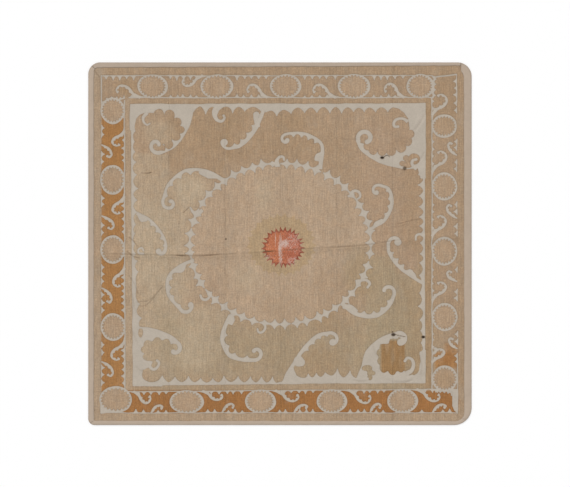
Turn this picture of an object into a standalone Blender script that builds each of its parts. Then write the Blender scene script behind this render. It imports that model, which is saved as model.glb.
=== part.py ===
"""A square embroidered suzani cover, lying face up on a flat surface.

Six strips of cotton are sewn side by side into one ground, with a 0.3 mm seam gap between them:
four of one loom width, and a wider one outside them on each side. Four folded strips bind the
edge: each is a hairpin in section, with one layer under the ground and one over it. The cloth
keeps the soft creases of its storage folds and a few low billows, and lies flat on the surface
everywhere else.

Frame: origin at the middle of the underside, +X to the right, +Y up the design, +Z up.
"""

import math

import bmesh
import bpy

# Overall size, in metres
WIDTH = 1.960
DEPTH = 1.854
HALF_W = WIDTH / 2
HALF_D = DEPTH / 2

# Layers
CLOTH = 0.0014
BINDING = 0.0010
GAP = 0.0003
BINDING_STACK = 2 * BINDING + 2 * GAP + CLOTH
FOLD_RADIUS = BINDING_STACK / 2
EDGE_LIFT = BINDING + GAP

# Each binding strip's ends are drawn back this far from its joints
JOINT_EASE = 0.55 * GAP

# The ground's edge lies this far inside the bound edge, clear of the binding's fold
GROUND_INSET = 0.0045

# Seams between the loom strips, as X positions
LOOM_WIDTH = 0.286
CENTRE_SEAM = 0.006
SEAMS = tuple(CENTRE_SEAM + LOOM_WIDTH * k for k in (-2, -1, 0, 1, 2))

# Rounded corners, as three rings: the bound edge, then the inner edges of the upper and the lower
# layer. Each ring is its inset from the two sides and its radius.
CORNERS = {
    "top_left": {"edge": (0, 0, 0.061), "upper": (0.029, 0.027, 0.022), "lower": (0.030, 0.030, 0.031)},
    "top_right": {"edge": (0, 0, 0.071), "upper": (0.040, 0.028, 0.055), "lower": (0.030, 0.030, 0.041)},
    "bottom_right": {"edge": (0, 0, 0.090), "upper": (0.038, 0.020, 0.045), "lower": (0.030, 0.030, 0.060)},
    "bottom_left": {"edge": (0, 0, 0.032), "upper": (0.029, 0.022, 0.008), "lower": (0.030, 0.030, 0.008)},
}
RINGS = ("edge", "upper", "lower")

# At the top right the top strip stops on this line, butted by the side strip
BUTT_X = HALF_W - 0.055
TOP_FACE_AT_BUTT = 0.017

# The storage fold that runs across the cloth: its line, and the soft ridge along it
FOLD_LINE = ((-0.98, -0.050), (-0.45, -0.060), (-0.10, -0.045), (0.20, -0.020), (0.55, 0.010), (0.98, 0.045))
FOLD_HEIGHT = 0.0045
FOLD_REACH = 0.036

# The fainter fold down the middle seam
CENTRE_FOLD_HEIGHT = 0.0016
CENTRE_FOLD_REACH = 0.055

# Low places where the cloth doesn't quite lie down: x, y, radius, height
BILLOWS = (
    (0.66, 0.60, 0.20, 0.0030),
    (0.42, -0.62, 0.22, 0.0030),
    (0.76, -0.50, 0.17, 0.0024),
    (-0.72, -0.22, 0.19, 0.0026),
    (-0.60, 0.30, 0.18, 0.0018),
    (0.70, 0.13, 0.16, 0.0020),
)

# How far in from the edge the cloth is held down by its binding, and where it is free again
HELD_DOWN = 0.036
FREE = 0.082

# Mesh spacing: close steps beside a bound edge, then even ones
EDGE_STEPS = (0.0, 0.010, HELD_DOWN - GROUND_INSET, 0.054, FREE)
COLUMN_STEP = 0.060
ROW_STEP = 0.115
FOLD_ROWS = (-1.0, -0.62, -0.28, 0.0, 0.28, 0.62, 1.0)
STRIP_STEP = 0.095
ARC_STEPS = 5
SECTION_STEPS = 4

FACE_COLOUR = (0.40, 0.30, 0.20)
BINDING_COLOUR = (0.48, 0.39, 0.31)


def smooth(low, high, value):
    """0 at low, 1 at high, with no kink at either end."""
    t = min(1.0, max(0.0, (value - low) / (high - low)))
    return t * t * (3 - 2 * t)


def mix(a, b, t):
    return a + (b - a) * t


def fold_y(x):
    """Where the storage fold crosses a given X."""
    for (x0, y0), (x1, y1) in zip(FOLD_LINE, FOLD_LINE[1:]):
        if x <= x1:
            return mix(y0, y1, (x - x0) / (x1 - x0))
    return FOLD_LINE[-1][1]


def edge_distance(x, y):
    """How far inside the rounded outline a point lies."""
    vertical = "top" if y > 0 else "bottom"
    horizontal = "right" if x > 0 else "left"
    radius = CORNERS[f"{vertical}_{horizontal}"]["edge"][2]
    dx = abs(x) - (HALF_W - radius)
    dy = abs(y) - (HALF_D - radius)
    if dx > 0 and dy > 0:
        return radius - math.hypot(dx, dy)
    return radius - max(dx, dy)


def lift(x, y):
    """Height of the ground's underside over the surface that it lies on: 0 wherever it rests."""
    inside = edge_distance(x, y)
    free = smooth(HELD_DOWN, FREE, inside)
    ridge = FOLD_HEIGHT * (1 - smooth(0, FOLD_REACH, abs(y - fold_y(x))))
    ridge += CENTRE_FOLD_HEIGHT * (1 - smooth(0, CENTRE_FOLD_REACH, abs(x - CENTRE_SEAM)))
    for bx, by, radius, height in BILLOWS:
        ridge += height * (1 - smooth(0, radius, math.hypot(x - bx, y - by)))
    return EDGE_LIFT * (1 - free) + ridge * free


def ground_reach(x, side):
    """The ground's top or bottom edge at a given X, with its corners rounded."""
    horizontal = "right" if x > 0 else "left"
    radius = CORNERS[f"{side}_{horizontal}"]["edge"][2] - GROUND_INSET
    straight = HALF_W - GROUND_INSET - radius
    over = min(radius, max(0.0, abs(x) - straight))
    reach = HALF_D - GROUND_INSET - radius + math.sqrt(radius**2 - over**2)
    return reach if side == "top" else -reach


def even(low, high, step):
    """Evenly spaced values between low and high, without either end."""
    count = max(1, round((high - low) / step))
    return [mix(low, high, k / count) for k in range(1, count)]


def columns(low, high):
    """X positions across one strip, closer together beside a bound edge."""
    left = [low + step for step in EDGE_STEPS] if low < -HALF_W + 0.1 else [low]
    right = [high - step for step in reversed(EDGE_STEPS)] if high > HALF_W - 0.1 else [high]
    return left + even(left[-1], right[0], COLUMN_STEP) + right


def rows(x):
    """Y positions up one column, closer together beside the edges and over the fold."""
    bottom, top, fold = ground_reach(x, "bottom"), ground_reach(x, "top"), fold_y(x)
    low = [bottom + step for step in EDGE_STEPS]
    high = [top - step for step in reversed(EDGE_STEPS)]
    over_fold = [fold + FOLD_REACH * share for share in FOLD_ROWS]
    count = round((HALF_D - FREE - FOLD_REACH) / ROW_STEP)
    below = [mix(low[-1], over_fold[0], k / count) for k in range(1, count)]
    above = [mix(over_fold[-1], high[0], k / count) for k in range(1, count)]
    return low + below + over_fold + above + high


def sheet(name, outside, inside, material):
    """A closed layer of cloth between two tables of points, each table[along][across]."""
    mesh = bmesh.new()
    tops = [[mesh.verts.new(p) for p in line] for line in outside]
    unders = [[mesh.verts.new(p) for p in line] for line in inside]

    def quad(a, b, c, d):
        mesh.faces.new((a, b, c, d))

    for i in range(len(tops) - 1):
        for j in range(len(tops[0]) - 1):
            quad(tops[i][j], tops[i + 1][j], tops[i + 1][j + 1], tops[i][j + 1])
            quad(unders[i][j], unders[i][j + 1], unders[i + 1][j + 1], unders[i + 1][j])
        quad(tops[i][0], unders[i][0], unders[i + 1][0], tops[i + 1][0])
        quad(tops[i][-1], tops[i + 1][-1], unders[i + 1][-1], unders[i][-1])
    for j in range(len(tops[0]) - 1):
        quad(tops[0][j], tops[0][j + 1], unders[0][j + 1], unders[0][j])
        quad(tops[-1][j], unders[-1][j], unders[-1][j + 1], tops[-1][j + 1])
    bmesh.ops.recalc_face_normals(mesh, faces=mesh.faces)
    data = bpy.data.meshes.new(name)
    mesh.to_mesh(data)
    mesh.free()
    data.materials.append(material)
    bpy.data.collections["suzani"].objects.link(bpy.data.objects.new(name, data))


def loom_strip(index, low, high, material):
    """One length of the ground cloth, from seam to seam."""
    unders = [[(x, y, lift(x, y)) for y in rows(x)] for x in columns(low, high)]
    tops = [[(x, y, z + CLOTH) for x, y, z in line] for line in unders]
    sheet(f"ground_strip_{index}", tops, unders, material)


def ring_centre(corner, ring):
    inset_x, inset_y, radius = CORNERS[corner][ring]
    sign_x = 1 if corner.endswith("right") else -1
    sign_y = 1 if corner.startswith("top") else -1
    return sign_x * (HALF_W - inset_x - radius), sign_y * (HALF_D - inset_y - radius)


def arc(corner, ring, start, end):
    """Points round part of a ring's corner, between two angles in degrees."""
    cx, cy = ring_centre(corner, ring)
    radius = CORNERS[corner][ring][2]
    angles = [math.radians(mix(start, end, k / ARC_STEPS)) for k in range(ARC_STEPS + 1)]
    return [(cx + radius * math.cos(a), cy + radius * math.sin(a)) for a in angles]


def butt_angle(ring):
    """Where a ring's top right corner crosses the butt joint, in degrees."""
    across = BUTT_X - ring_centre("top_right", ring)[0]
    return math.degrees(math.acos(across / CORNERS["top_right"][ring][2]))


def steps_between(a, b, count):
    return [(mix(a[0], b[0], k / count), mix(a[1], b[1], k / count)) for k in range(1, count)]


def side_paths(first, last):
    """A strip's three rings from joint to joint, with matching points: corner, straight, corner."""
    count = round(math.dist(first["edge"][-1], last["edge"][0]) / STRIP_STEP)
    paths = {}
    for ring in RINGS:
        straight = steps_between(first[ring][-1], last[ring][0], count)
        paths[ring] = first[ring] + straight + last[ring]
    return paths


def eased(paths):
    """The same rings with both ends drawn back from their joints."""
    for end, inner in ((0, 1), (-1, -2)):
        (ex, ey), (ux, uy) = paths["edge"][end], paths["upper"][end]
        reach = math.dist((ex, ey), (ux, uy))
        nx, ny = (uy - ey) / reach, (ex - ux) / reach
        toward = (paths["edge"][inner][0] - ex) * nx + (paths["edge"][inner][1] - ey) * ny
        back = math.copysign(JOINT_EASE, toward)
        for ring in RINGS:
            x, y = paths[ring][end]
            paths[ring][end] = (x + nx * back, y + ny * back)
    return paths


def hairpin(edge, upper, lower, depth):
    """Points across a folded strip, from its lower inner edge round the fold to its upper one.

    depth is how far below the strip's outside they lie.
    """
    reach = math.dist(edge, upper)
    nx, ny = (upper[0] - edge[0]) / reach, (upper[1] - edge[1]) / reach
    radius = FOLD_RADIUS - depth
    points = [(lower[0], lower[1], depth)]
    for k in range(SECTION_STEPS + 1):
        angle = math.pi * (k / SECTION_STEPS - 0.5)
        inward = FOLD_RADIUS - radius * math.cos(angle)
        points.append((edge[0] + nx * inward, edge[1] + ny * inward, FOLD_RADIUS + radius * math.sin(angle)))
    points.append((upper[0], upper[1], BINDING_STACK - depth))
    return points


def binding_strip(name, first, last, material):
    paths = eased(side_paths(first, last))
    threes = list(zip(*(paths[ring] for ring in RINGS)))
    outside = [hairpin(*three, 0) for three in threes]
    inside = [hairpin(*three, BINDING) for three in threes]
    sheet(f"binding_{name}", outside, inside, material)


def turn(corner, start, end):
    """Part of one corner on all three rings."""
    return {ring: arc(corner, ring, start, end) for ring in RINGS}


def bindings(material):
    """Four strips, going round anticlockwise: three corners are mitred and the top right one is butted."""
    binding_strip("left", turn("top_left", 135, 180), turn("bottom_left", 180, 225), material)
    binding_strip("bottom", turn("bottom_left", 225, 270), turn("bottom_right", 270, 315), material)
    to_butt = {ring: arc("top_right", ring, 0, butt_angle(ring)) for ring in RINGS}
    binding_strip("right", turn("bottom_right", 315, 360), to_butt, material)
    from_butt = {ring: arc("top_right", ring, butt_angle(ring), 90) for ring in RINGS}
    ends = [(x, HALF_D - TOP_FACE_AT_BUTT) for x in (BUTT_X, from_butt["edge"][-1][0])]
    from_butt["upper"] = [ends[0], *steps_between(*ends, ARC_STEPS), ends[1]]
    binding_strip("top", from_butt, turn("top_left", 90, 135), material)


def fabric(name, colour):
    """A plain woven finish."""
    material = bpy.data.materials.new(name)
    material.use_nodes = True
    shader = material.node_tree.nodes["Principled BSDF"]
    shader.inputs["Base Color"].default_value = (*colour, 1)
    shader.inputs["Roughness"].default_value = 0.9
    shader.inputs["Metallic"].default_value = 0.0
    material.diffuse_color = (*colour, 1)
    return material


def clear_scene():
    for old in list(bpy.data.objects):
        bpy.data.objects.remove(old)


def main():
    clear_scene()
    bpy.context.scene.collection.children.link(bpy.data.collections.new("suzani"))
    ground = fabric("embroidered_ground", FACE_COLOUR)
    binding = fabric("plain_binding", BINDING_COLOUR)
    left_edge, right_edge = -HALF_W + GROUND_INSET, HALF_W - GROUND_INSET
    starts = (left_edge, *(seam + GAP / 2 for seam in SEAMS))
    ends = (*(seam - GAP / 2 for seam in SEAMS), right_edge)
    for index, (low, high) in enumerate(zip(starts, ends), 1):
        loom_strip(index, low, high, ground)
    bindings(binding)


main()
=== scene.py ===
"""Looks for the suzani cover: worked ground strips, their cloth and the bound edge.

Each strip of the ground is one closed skin. Its face is cut along the outlines of the embroidery,
so that the worked and the bare cotton are separate faces at their own heights. The bindings are
folded strips on the solids' own lines. Design tables are in centimetres, built sizes in metres.
"""

import math

import bpy
import numpy as np
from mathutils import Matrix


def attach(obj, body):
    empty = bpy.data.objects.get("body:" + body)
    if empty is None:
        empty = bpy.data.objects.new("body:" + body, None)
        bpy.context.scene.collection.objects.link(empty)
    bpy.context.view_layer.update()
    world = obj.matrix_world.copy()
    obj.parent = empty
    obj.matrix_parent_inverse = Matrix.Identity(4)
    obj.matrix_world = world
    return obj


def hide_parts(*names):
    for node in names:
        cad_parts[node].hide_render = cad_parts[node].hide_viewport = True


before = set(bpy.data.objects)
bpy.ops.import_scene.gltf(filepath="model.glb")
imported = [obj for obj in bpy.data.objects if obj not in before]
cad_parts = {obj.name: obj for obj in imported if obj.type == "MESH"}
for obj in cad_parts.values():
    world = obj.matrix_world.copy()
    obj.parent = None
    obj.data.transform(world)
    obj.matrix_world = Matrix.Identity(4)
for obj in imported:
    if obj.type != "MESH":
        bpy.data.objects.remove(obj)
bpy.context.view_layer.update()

CM = 0.01

# The solids' own sizes, in metres
HALF_W = 0.980
HALF_D = 0.927
CLOTH = 0.0014
BINDING = 0.0010
GAP = 0.0003
BINDING_STACK = 2 * BINDING + 2 * GAP + CLOTH
FOLD_RADIUS = BINDING_STACK / 2
EDGE_LIFT = BINDING + GAP
JOINT_EASE = 0.55 * GAP
GROUND_INSET = 0.0045
LOOM_WIDTH = 0.286
CENTRE_SEAM = 0.006
SEAMS = tuple(CENTRE_SEAM + LOOM_WIDTH * k for k in (-2, -1, 0, 1, 2))
CORNERS = {
    "top_left": {"edge": (0, 0, 0.061), "upper": (0.029, 0.027, 0.022), "lower": (0.030, 0.030, 0.031)},
    "top_right": {"edge": (0, 0, 0.071), "upper": (0.040, 0.028, 0.055), "lower": (0.030, 0.030, 0.041)},
    "bottom_right": {"edge": (0, 0, 0.090), "upper": (0.038, 0.020, 0.045), "lower": (0.030, 0.030,
      0.060)},
    "bottom_left": {"edge": (0, 0, 0.032), "upper": (0.029, 0.022, 0.008), "lower": (0.030, 0.030,
      0.008)},
}
RINGS = ("edge", "upper", "lower")
BUTT_X = HALF_W - 0.055
TOP_FACE_AT_BUTT = 0.017
FOLD_LINE = ((-0.98, -0.050), (-0.45, -0.060), (-0.10, -0.045), (0.20, -0.020), (0.55, 0.010),
 (0.98, 0.045))
FOLD_HEIGHT = 0.0045
FOLD_REACH = 0.036
CENTRE_FOLD_HEIGHT = 0.0016
CENTRE_FOLD_REACH = 0.055
BILLOWS = (
    (0.66, 0.60, 0.20, 0.0030), (0.42, -0.62, 0.22, 0.0030), (0.76, -0.50, 0.17, 0.0024),
    (-0.72, -0.22, 0.19, 0.0026), (-0.60, 0.30, 0.18, 0.0018), (0.70, 0.13, 0.16, 0.0020),
)
HELD_DOWN = 0.036
FREE = 0.082

# Mesh spacing of the face, and how many of its steps the underside takes in one
STEP = 0.0035
COARSE = 6

# Height of the face over the underside, bare and worked
BARE = 0.0008
WORKED = 0.0016

# The face's height at most under the binding, and how far in from the edge it is clear of that
UNDER_BINDING = 0.0013
CLEAR_OF_BINDING = (0.040, 0.056)

# The design is measured up to this far from an outline, in centimetres
REACH = 1.4

# Bare ground shows this far past each drawn outline, in centimetres
SHOW = 0.2


def table(names, *rows):
    """Rows of a table as records with named columns."""
    keys = names.split()
    return [dict(zip(keys, row)) for row in rows]


# ---- motifs ----

# Comma leaves of bare ground. start, bellies: the smooth outer edge. eye, radius, turn: the curl at
# its end. width, hollow: the body at its widest, and its share of that between the teeth. cusps:
# teeth along the inner edge, between the shares first and last of its length. base: the stem's share
# of the width. curl, bulb: width of the curl and radius of its tip. tight: how far the curl closes.
LEAVES = table(
    "name start bellies eye radius turn width hollow cusps base first last curl bulb tight",
    ("t2", (-6.9, 69.4), [(-12.7, 56.8), (-19.9, 49.6)], (-26.3, 52.2), 4.19, 95, 3.6, 0.5, 4, 0.45, 0.39,
     0.92, 1.02, 1.69, 0.95),
    ("t4", (21.6, 38.2), [(22, 50.7), (13.3, 56.5), (6.2, 56.9)], (3.1, 53.6),
     2.96, 215, 3.2, 0.34, 4, 0.6, 0.49, 0.88, 1.1, 1.07, 0.7),
    ("ul", (-28.1, 33.1), [(-38.1, 37.8), (-48.7, 37.8), (-56.7, 31.6)], (-56.2, 20.8),
     4.5, 290, 3.3, 0.34, 4, 0.55, 0.455, 0.94, 1.3, 0.8, 0.34),
    ("left", (-72.7, 16.1), [(-66.1, 12.5), (-59.6, 4.3), (-57.8, -0.8)], (-61.5, -3.2),
     3.5, 140, 2.7, 0.34, 4, 0.5, 0.375, 0.9, 1.5, 1.3, 0.62),
    ("ll", (-44.5, -7.6), [(-51.7, -11.1), (-57.6, -17), (-57.6, -26.2)], (-47.6, -31.5),
     4.5, 150, 3.1, 0.44, 5, 0.5, 0.29, 0.94, 1.5, 1.3, 0.72),
    ("b8", (-26.1, -36.6), [(-29.1, -42.6), (-30.3, -49.3), (-26.4, -57.6), (-18.9, -60.1)],
     (-12.4, -56.1), 4.1, 225, 3.7, 0.46, 4, 0.5, 0.28, 0.88, 1.5, 0.9, 0.6),
    ("b10", (1.8, -70.6), [(6.5, -61.3), (11.9, -52.9), (19.7, -46)], (26.2, -48.9),
     4, 165, 3.2, 0.56, 4, 0.3, 0.565, 0.955, 1.3, 1.6, 0.8),
    ("lr", (31, -31.3), [(37.9, -36.4), (49.1, -37.6), (56.8, -31.6)], (55.2, -24.8),
     4.19, 175, 3.7, 0.48, 4, 0.5, 0.38, 0.88, 1.4, 0.87, 0.72),
    ("right", (73.4, -21), [(67.2, -17.2), (61.4, -13.2), (55.4, -5.3)], (58.9, 0.1),
     4.24, 165, 3.7, 0.36, 4, 0.4, 0.337, 0.825, 1.4, 1.64, 0.75),
    ("ur", (46.5, 7), [(54, 11.7), (58.1, 20.8), (56, 28.2)], (49.9, 27.1), 3.58, 190, 2.8, 0.5, 5, 0.4,
     0.21, 0.835, 1.1, 1.02, 0.6),
)

# Corner leaves also close the bare ground behind them: inner is its far side. They have no teeth.
PLAIN_BODY = {"width": 1.53, "hollow": 0.34, "cusps": 0, "base": 1, "first": 0.0}
CORNER_LEAVES = table(
    "name start bellies eye radius turn last curl bulb tight inner",
    ("tl", (-43.8, 71.4), [(-46.6, 60.2), (-53.6, 49.6)], (-63, 50.3), 4.9, 300, 0.92, 1.6, 0.6, 0.34,
     [(-59.8, 51), (-55.2, 55.1), (-52.6, 60.2), (-55.2, 65.3), (-62.3, 66.6), (-68.8, 67.3),
      (-71.9, 65.9), (-73.6, 63.9), (-74.3, 61), (-74.6, 58.1), (-76.6, 58.1), (-76.6, 71.4)]),
    ("tr", (63.4, 38.3), [(51.7, 41.1), (41.5, 47.7)], (43.7, 54), 4.81, 275, 0.92, 1.9, 1, 0.66,
     [(44, 50.5), (50.1, 47.9), (57.8, 47.6), (64.4, 51), (66.4, 59.1), (65.6, 64.3), (63.6, 67.1),
      (60.9, 69.2), (57.3, 70.2), (56.5, 71.7), (74.4, 71.8), (74.4, 33.6), (72.1, 33.6), (70.6, 38.7)]),
    ("bl", (-75.1, -42.9), [(-66.4, -43.2), (-55.7, -47)], (-53.9, -53.4), 3.89, 165, 0.9, 1.84, 1.02,
     0.75,
     [(-55.2, -51.8), (-57.2, -49.7), (-62.8, -49), (-67.9, -50.3), (-69.7, -53.8), (-69.2, -57.9),
      (-66.4, -60.5), (-66.9, -64.1), (-70.5, -64.1), (-70, -68.1), (-66.4, -70.7), (-60.3, -70.2),
      (-60.3, -72.7), (-75.1, -72.7)]),
    ("br", (41.7, -62.5), [(44.2, -54.9), (51.7, -48.1)], (61.5, -48.5), 3.78, 190, 0.96, 2.86, 1.64, 0.9,
     [(60.4, -48.2), (56.3, -48.5), (55.5, -50.8), (51.2, -51.3), (50.1, -57.9), (51.2, -64.6),
      (57.3, -65.8), (63.4, -65.1), (66, -67.6), (70.1, -66.1), (72.1, -60.5), (71.6, -55.4),
      (74.4, -54.3), (74.4, -71.2), (39.9, -71.2), (39.4, -68.1)]),
)

# Rounded embroidered lobes of the corner sprays: x, y, half width, half height
LOBES = [
    (-61.9, 65.8, 2.96, 3.27), (-56.4, 65.5, 2.86, 3.37), (-52.6, 62.3, 2.35, 2.5),
    (-51.5, 58.4, 2.86, 2.25), (-53.4, 54.9, 2.7, 2.5), (-56.8, 50.7, 2.4, 2.4), (-54.4, 57.4, 1.6, 1.6),
    (-58.3, 53.2, 3.2, 2.8), (-67.4, 63.2, 3.58, 3.37), (-61, 48.8, 2.6, 2.2), (-71.2, -45.6, 1.4, 2.6),
    (44.8, 49.7, 2.15, 2.25), (47.6, 47.9, 2.5, 2.66), (52.2, 47.4, 2.5, 2.76), (56.9, 47.3, 2.66, 2.66),
    (61.8, 49.5, 2.86, 3.07), (65.3, 52.6, 2.5, 2.76), (66.7, 56.1, 2.35, 2.25), (62.4, 60.7, 3.58, 4.09),
    (64.6, 43.7, 1.74, 1.84), (68.6, 43.3, 3.17, 3.07), (62.7, 41, 1.74, 1.53), (65.5, 40.2, 2.56, 1.64),
    (65.2, 42.4, 1.3, 1.5), (-67.5, -52, 2.35, 2.86), (-62.8, -51, 2.56, 3.22),
    (-58.2, -51.5, 2.35, 2.96), (-68.4, -54.1, 2.86, 2.15), (-67.4, -57.9, 2.86, 2.15),
    (-65.5, -66.8, 5.21, 4.09), (-54.6, -52.8, 2.04, 1.84), (53.2, -53.6, 2.45, 2.66),
    (58.1, -51.5, 2.45, 3.37), (53.2, -63.3, 2.35, 2.86), (57.5, -63.8, 2.4, 3.53),
    (61.9, -62.8, 2.25, 3.27), (51.4, -55.9, 2.15, 2.25), (51.9, -60, 2.35, 2.25),
    (68.6, -62.5, 2.86, 4.86), (44.4, -63.6, 2.96, 1.74), (47.6, -66.2, 1.43, 1.23),
    (45.9, -68.2, 1.53, 1.64), (45.9, -65.7, 1.84, 2.04),
]

# Bare pads at the leaves' stems: a short path, its widths, and the radius of the disc at its start
PADS = table(
    "path widths head",
    ([(-12.1, 66), (-12.4, 63.6), (-11.2, 59.6)], (2.4, 1.9, 2.2), 1.45),
    ([(21.6, 46.4), (19.6, 44.2), (19.2, 42.4)], (0.8, 3.2, 2.6), 0.3),
    ([(9.6, -60.1), (10.7, -60.1), (11.6, -59)], (4.8, 4.8, 2), 2.5),
    ([(66.8, -14.8), (67.8, -15.8), (69.6, -17.8)], (2.6, 2.6, 1.2), 1.5),
    ([(-72.2, 14.4), (-70.6, 13.2), (-67.8, 12.4)], (0.8, 3.6, 1.4), 0.3),
    ([(47.4, 7.6), (49.4, 9.9), (52.3, 12.2)], (0.5, 2.4, 1), 0.1),
    ([(32.2, -32.2), (36, -32.9), (39.6, -34.5)], (1.8, 2.8, 1.2), 0.1),
    ([(-41, 36.4), (-36.4, 35.2), (-31.2, 33.8)], (1.6, 3.8, 0.8), 0.5),
    ([(-53, -13.6), (-50.4, -13.2), (-48.6, -10.4)], (2, 2.8, 1.2), 0.8),
    ([(-24.9, -36.4), (-24.9, -38.8), (-25.8, -41)], (1.6, 3.4, 2.8), 0.2),
)

# Thin bare tendrils, with widths along each and the radius of its tip
TENDRILS = table(
    "path widths tip",
    ([(-68, 66.9), (-69.8, 64.4), (-69.5, 61.9), (-67.9, 60.7), (-66.5, 61.4)],
     (1.5, 1.3, 0.95, 0.65, 0.35), 0.25),
    ([(-29.3, 70.6), (-32.3, 68.9), (-33.3, 65.8), (-31.9, 63.1), (-29.6, 62.7), (-28.2, 64.4),
      (-28.7, 65.4)], (1.28, 2.56, 2.86, 1.74, 1.23, 1.02, 0.72), 0.51),
    ([(65.2, 62.5), (62.7, 64), (59.6, 63.5), (58.2, 61.7), (58.6, 60), (60.3, 59.9)],
     (1.53, 1.02, 1.02, 1.02, 1.02, 0.82), 0.56),
    ([(-66.1, -60.2), (-66.6, -62.5), (-64.6, -64.2), (-62.3, -62.8), (-61.8, -60.7), (-62.8, -59.8)],
     (1.74, 1.33, 1.12, 1.02, 0.92, 0.82), 0.51),
    ([(64.7, -66.4), (67.3, -64.8), (68.2, -61.8), (67.3, -59), (65.2, -58.5), (64, -60)],
     (2.04, 1.74, 1.43, 1.23, 1.12, 0.92), 0.51),
    ([(69.8, 38.2), (67.6, 40.5), (67.9, 42.5), (69.7, 43.1)], (1.33, 1.23, 1.12, 0.82), 0.51),
    ([(-1.2, 39.5), (-1.5, 42.5), (0.1, 44.5), (1.9, 44.4), (2.2, 43)], (2.56, 1.84, 1.12, 0.92, 0.82),
     0.41),
    ([(34.9, 24), (36.2, 24.7), (37.1, 26.5), (38.9, 27.1), (40.8, 26), (41, 23.9), (39.7, 22.9)],
     (0.8, 1.1, 1.1, 1.1, 1, 0.8, 0.5), 0.3),
    ([(-39.8, 17.2), (-41.5, 15.6), (-44.2, 16), (-45.8, 18.4)], (1.5, 1.4, 1.1, 0.5), 0.3),
    ([(-36.5, -24.4), (-35.9, -27), (-37.8, -28.7), (-39.8, -28.3), (-40.7, -26.5)],
     (1.12, 0.92, 0.92, 1.02, 0.82), 0.41),
    ([(-7.6, -41.3), (-7.6, -43.6), (-9.2, -45.4), (-10.9, -45.1), (-11.4, -43.6)],
     (0.72, 0.92, 0.92, 0.82, 0.66), 0.36),
    ([(38.9, -19.4), (41.5, -18.7), (44.3, -18.7), (45.9, -20.3), (44.8, -22.3)],
     (1.53, 0.82, 0.92, 1.12, 0.72), 0.51),
    ([(-69.6, -5.2), (-72, -5), (-72.3, -3), (-70.6, -2.2), (-69.8, -3.6)], (0.9, 0.7, 0.6, 0.6, 0.4),
     0.25),
    ([(73.7, 3.7), (71.6, 4.8), (69.7, 3.9), (69.3, 1.9)], (1, 0.9, 0.8, 0.6), 0.35),
    ([(45.1, -69), (42.8, -68.4), (42.6, -66.6), (44, -65.9)], (1.02, 0.92, 0.92, 0.61), 0.46),
)

# Bare scalloped margin along each side of the field: its edge line, which way is inward, and knots
# of (position, depth at the point, depth of the hollow after it).
MARGINS = table(
    "axis start end inward knots",
    (0, (-76.1, 71.3), (63.4, 71.6), (0, -1),
     [(-76.1, 0.5, 0.5), (-44.2, 3.6, 0.8), (-38, 5.3, 1.3), (-30.4, 1.5, 1.1), (-24.2, 4.6, 1.3),
      (-18.1, 3.8, 1.2), (-9.4, 4.1, 2), (-7.1, 4.3, 3.4), (-1.6, 6.1, 2.9), (5.9, 4.9, 1.6),
      (12.6, 4.5, 1.6), (18.9, 4.6, 1.4), (25.6, 4.7, 1.3), (31.5, 4.8, 1.8), (37.6, 4.2, 1.9),
      (43, 4.2, 1.7), (48.9, 4.2, 1.6), (55.2, 4.3, 1.4), (63.4, 4.1, 1)]),
    (1, (73.9, 70.9), (74.1, -70.7), (-1, 0),
     [(70.9, 1, 1), (35.4, 3.1, 0.6), (30.1, 3.5, 0.6), (24.4, 2.8, 0.6), (18.8, 2.9, 0.5),
      (13.6, 2.7, 0.5), (9, 2.6, 0.5), (5, 2, 0.5), (0.4, 2.4, 0.7), (-5.3, 2.6, 0.6), (-9.8, 2.6, 0.8),
      (-16, 2.6, 1), (-25.2, 2.6, 1.2), (-32.1, 3.4, 0.7), (-39, 2.6, 1.1), (-44.6, 2.2, 0.9),
      (-50.8, 1.9, 0.8), (-56.4, 2.6, 1.3), (-70.7, 1.5, 1.5)]),
    (0, (-75.1, -72.4), (74.2, -70.9), (0, 1),
     [(-75.1, 1.5, 1.5), (-60, 4.8, 1.2), (-53.6, 4, 1.2), (-46.7, 4.4, 1), (-40.6, 3.2, 0.8),
      (-34.5, 3.2, 0.8), (-28.6, 4.3, 1), (-21.4, 4.1, 0.8), (-15, 3.9, 0.6), (-9.4, 3.7, 0.5),
      (-3.8, 3.5, 0.4), (0.6, 0.8, 2), (10.3, 2.8, 2.6), (14.4, 4.9, 2.8), (18.5, 5.1, 3.1),
      (23.1, 5.4, 3.6), (29.4, 7.2, 2.7), (35.8, 6.4, 2.5), (42, 4.6, 2), (74.2, 1.5, 1.5)]),
    (1, (-76.2, 70.9), (-75, -71.7), (1, 0),
     [(70.9, 2, 1.3), (57.6, 2, 0.6), (52.2, 1.5, 0.6), (46.9, 1.8, 0.4), (41.8, 2.4, 0.4),
      (35.4, 2.8, 0.7), (28.2, 3.3, 0.7), (22.3, 2.8, 0.7), (16.2, 2.6, 0.8), (9.6, 1.9, 0.5),
      (5, 1.3, 0.5), (-0.2, 1.3, 0.5), (-5, 1.8, 0.8), (-8.8, 2.6, 1.3), (-14.5, 3.1, 1.6),
      (-22.1, 2, 1.5), (-30.8, 3.6, 1.8), (-38, 4.6, 2.9), (-44.1, 4.1, 3.1), (-71.7, 4.1, 3.1)]),
)

# The ring of lozenges round the medallion: its centre, half width and half height
RING = (0.2, -0.1, 46.26, 41.1)
LOZENGES = 50

# Border: the bare lines beside it, each a start, an end and a width
GUARD_LINES = table(
    "start end width",
    ((-91.3, 85.9), (78, 86), 0.05),
    ((78, 85.2), (90.4, 86.6), 0.35),
    ((-91.2, 86.2), (-91.2, 71), 0.3),
    ((-91.6, -86.4), (90.5, -86.5), 0.05),
    ((90.3, 86.8), (90.3, 73), 0.05),
    ((90.8, -60), (90.9, -86.8), 0.05),
    ((-76.6, 74.6), (78, 74.8), 0.15),
    ((-79.6, 73.5), (-79.2, -75.8), 0.2),
    ((-79.4, -75.7), (90, -74.4), 0.1),
    ((77.7, 75), (77.8, -74.6), 0.2),
)

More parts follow.
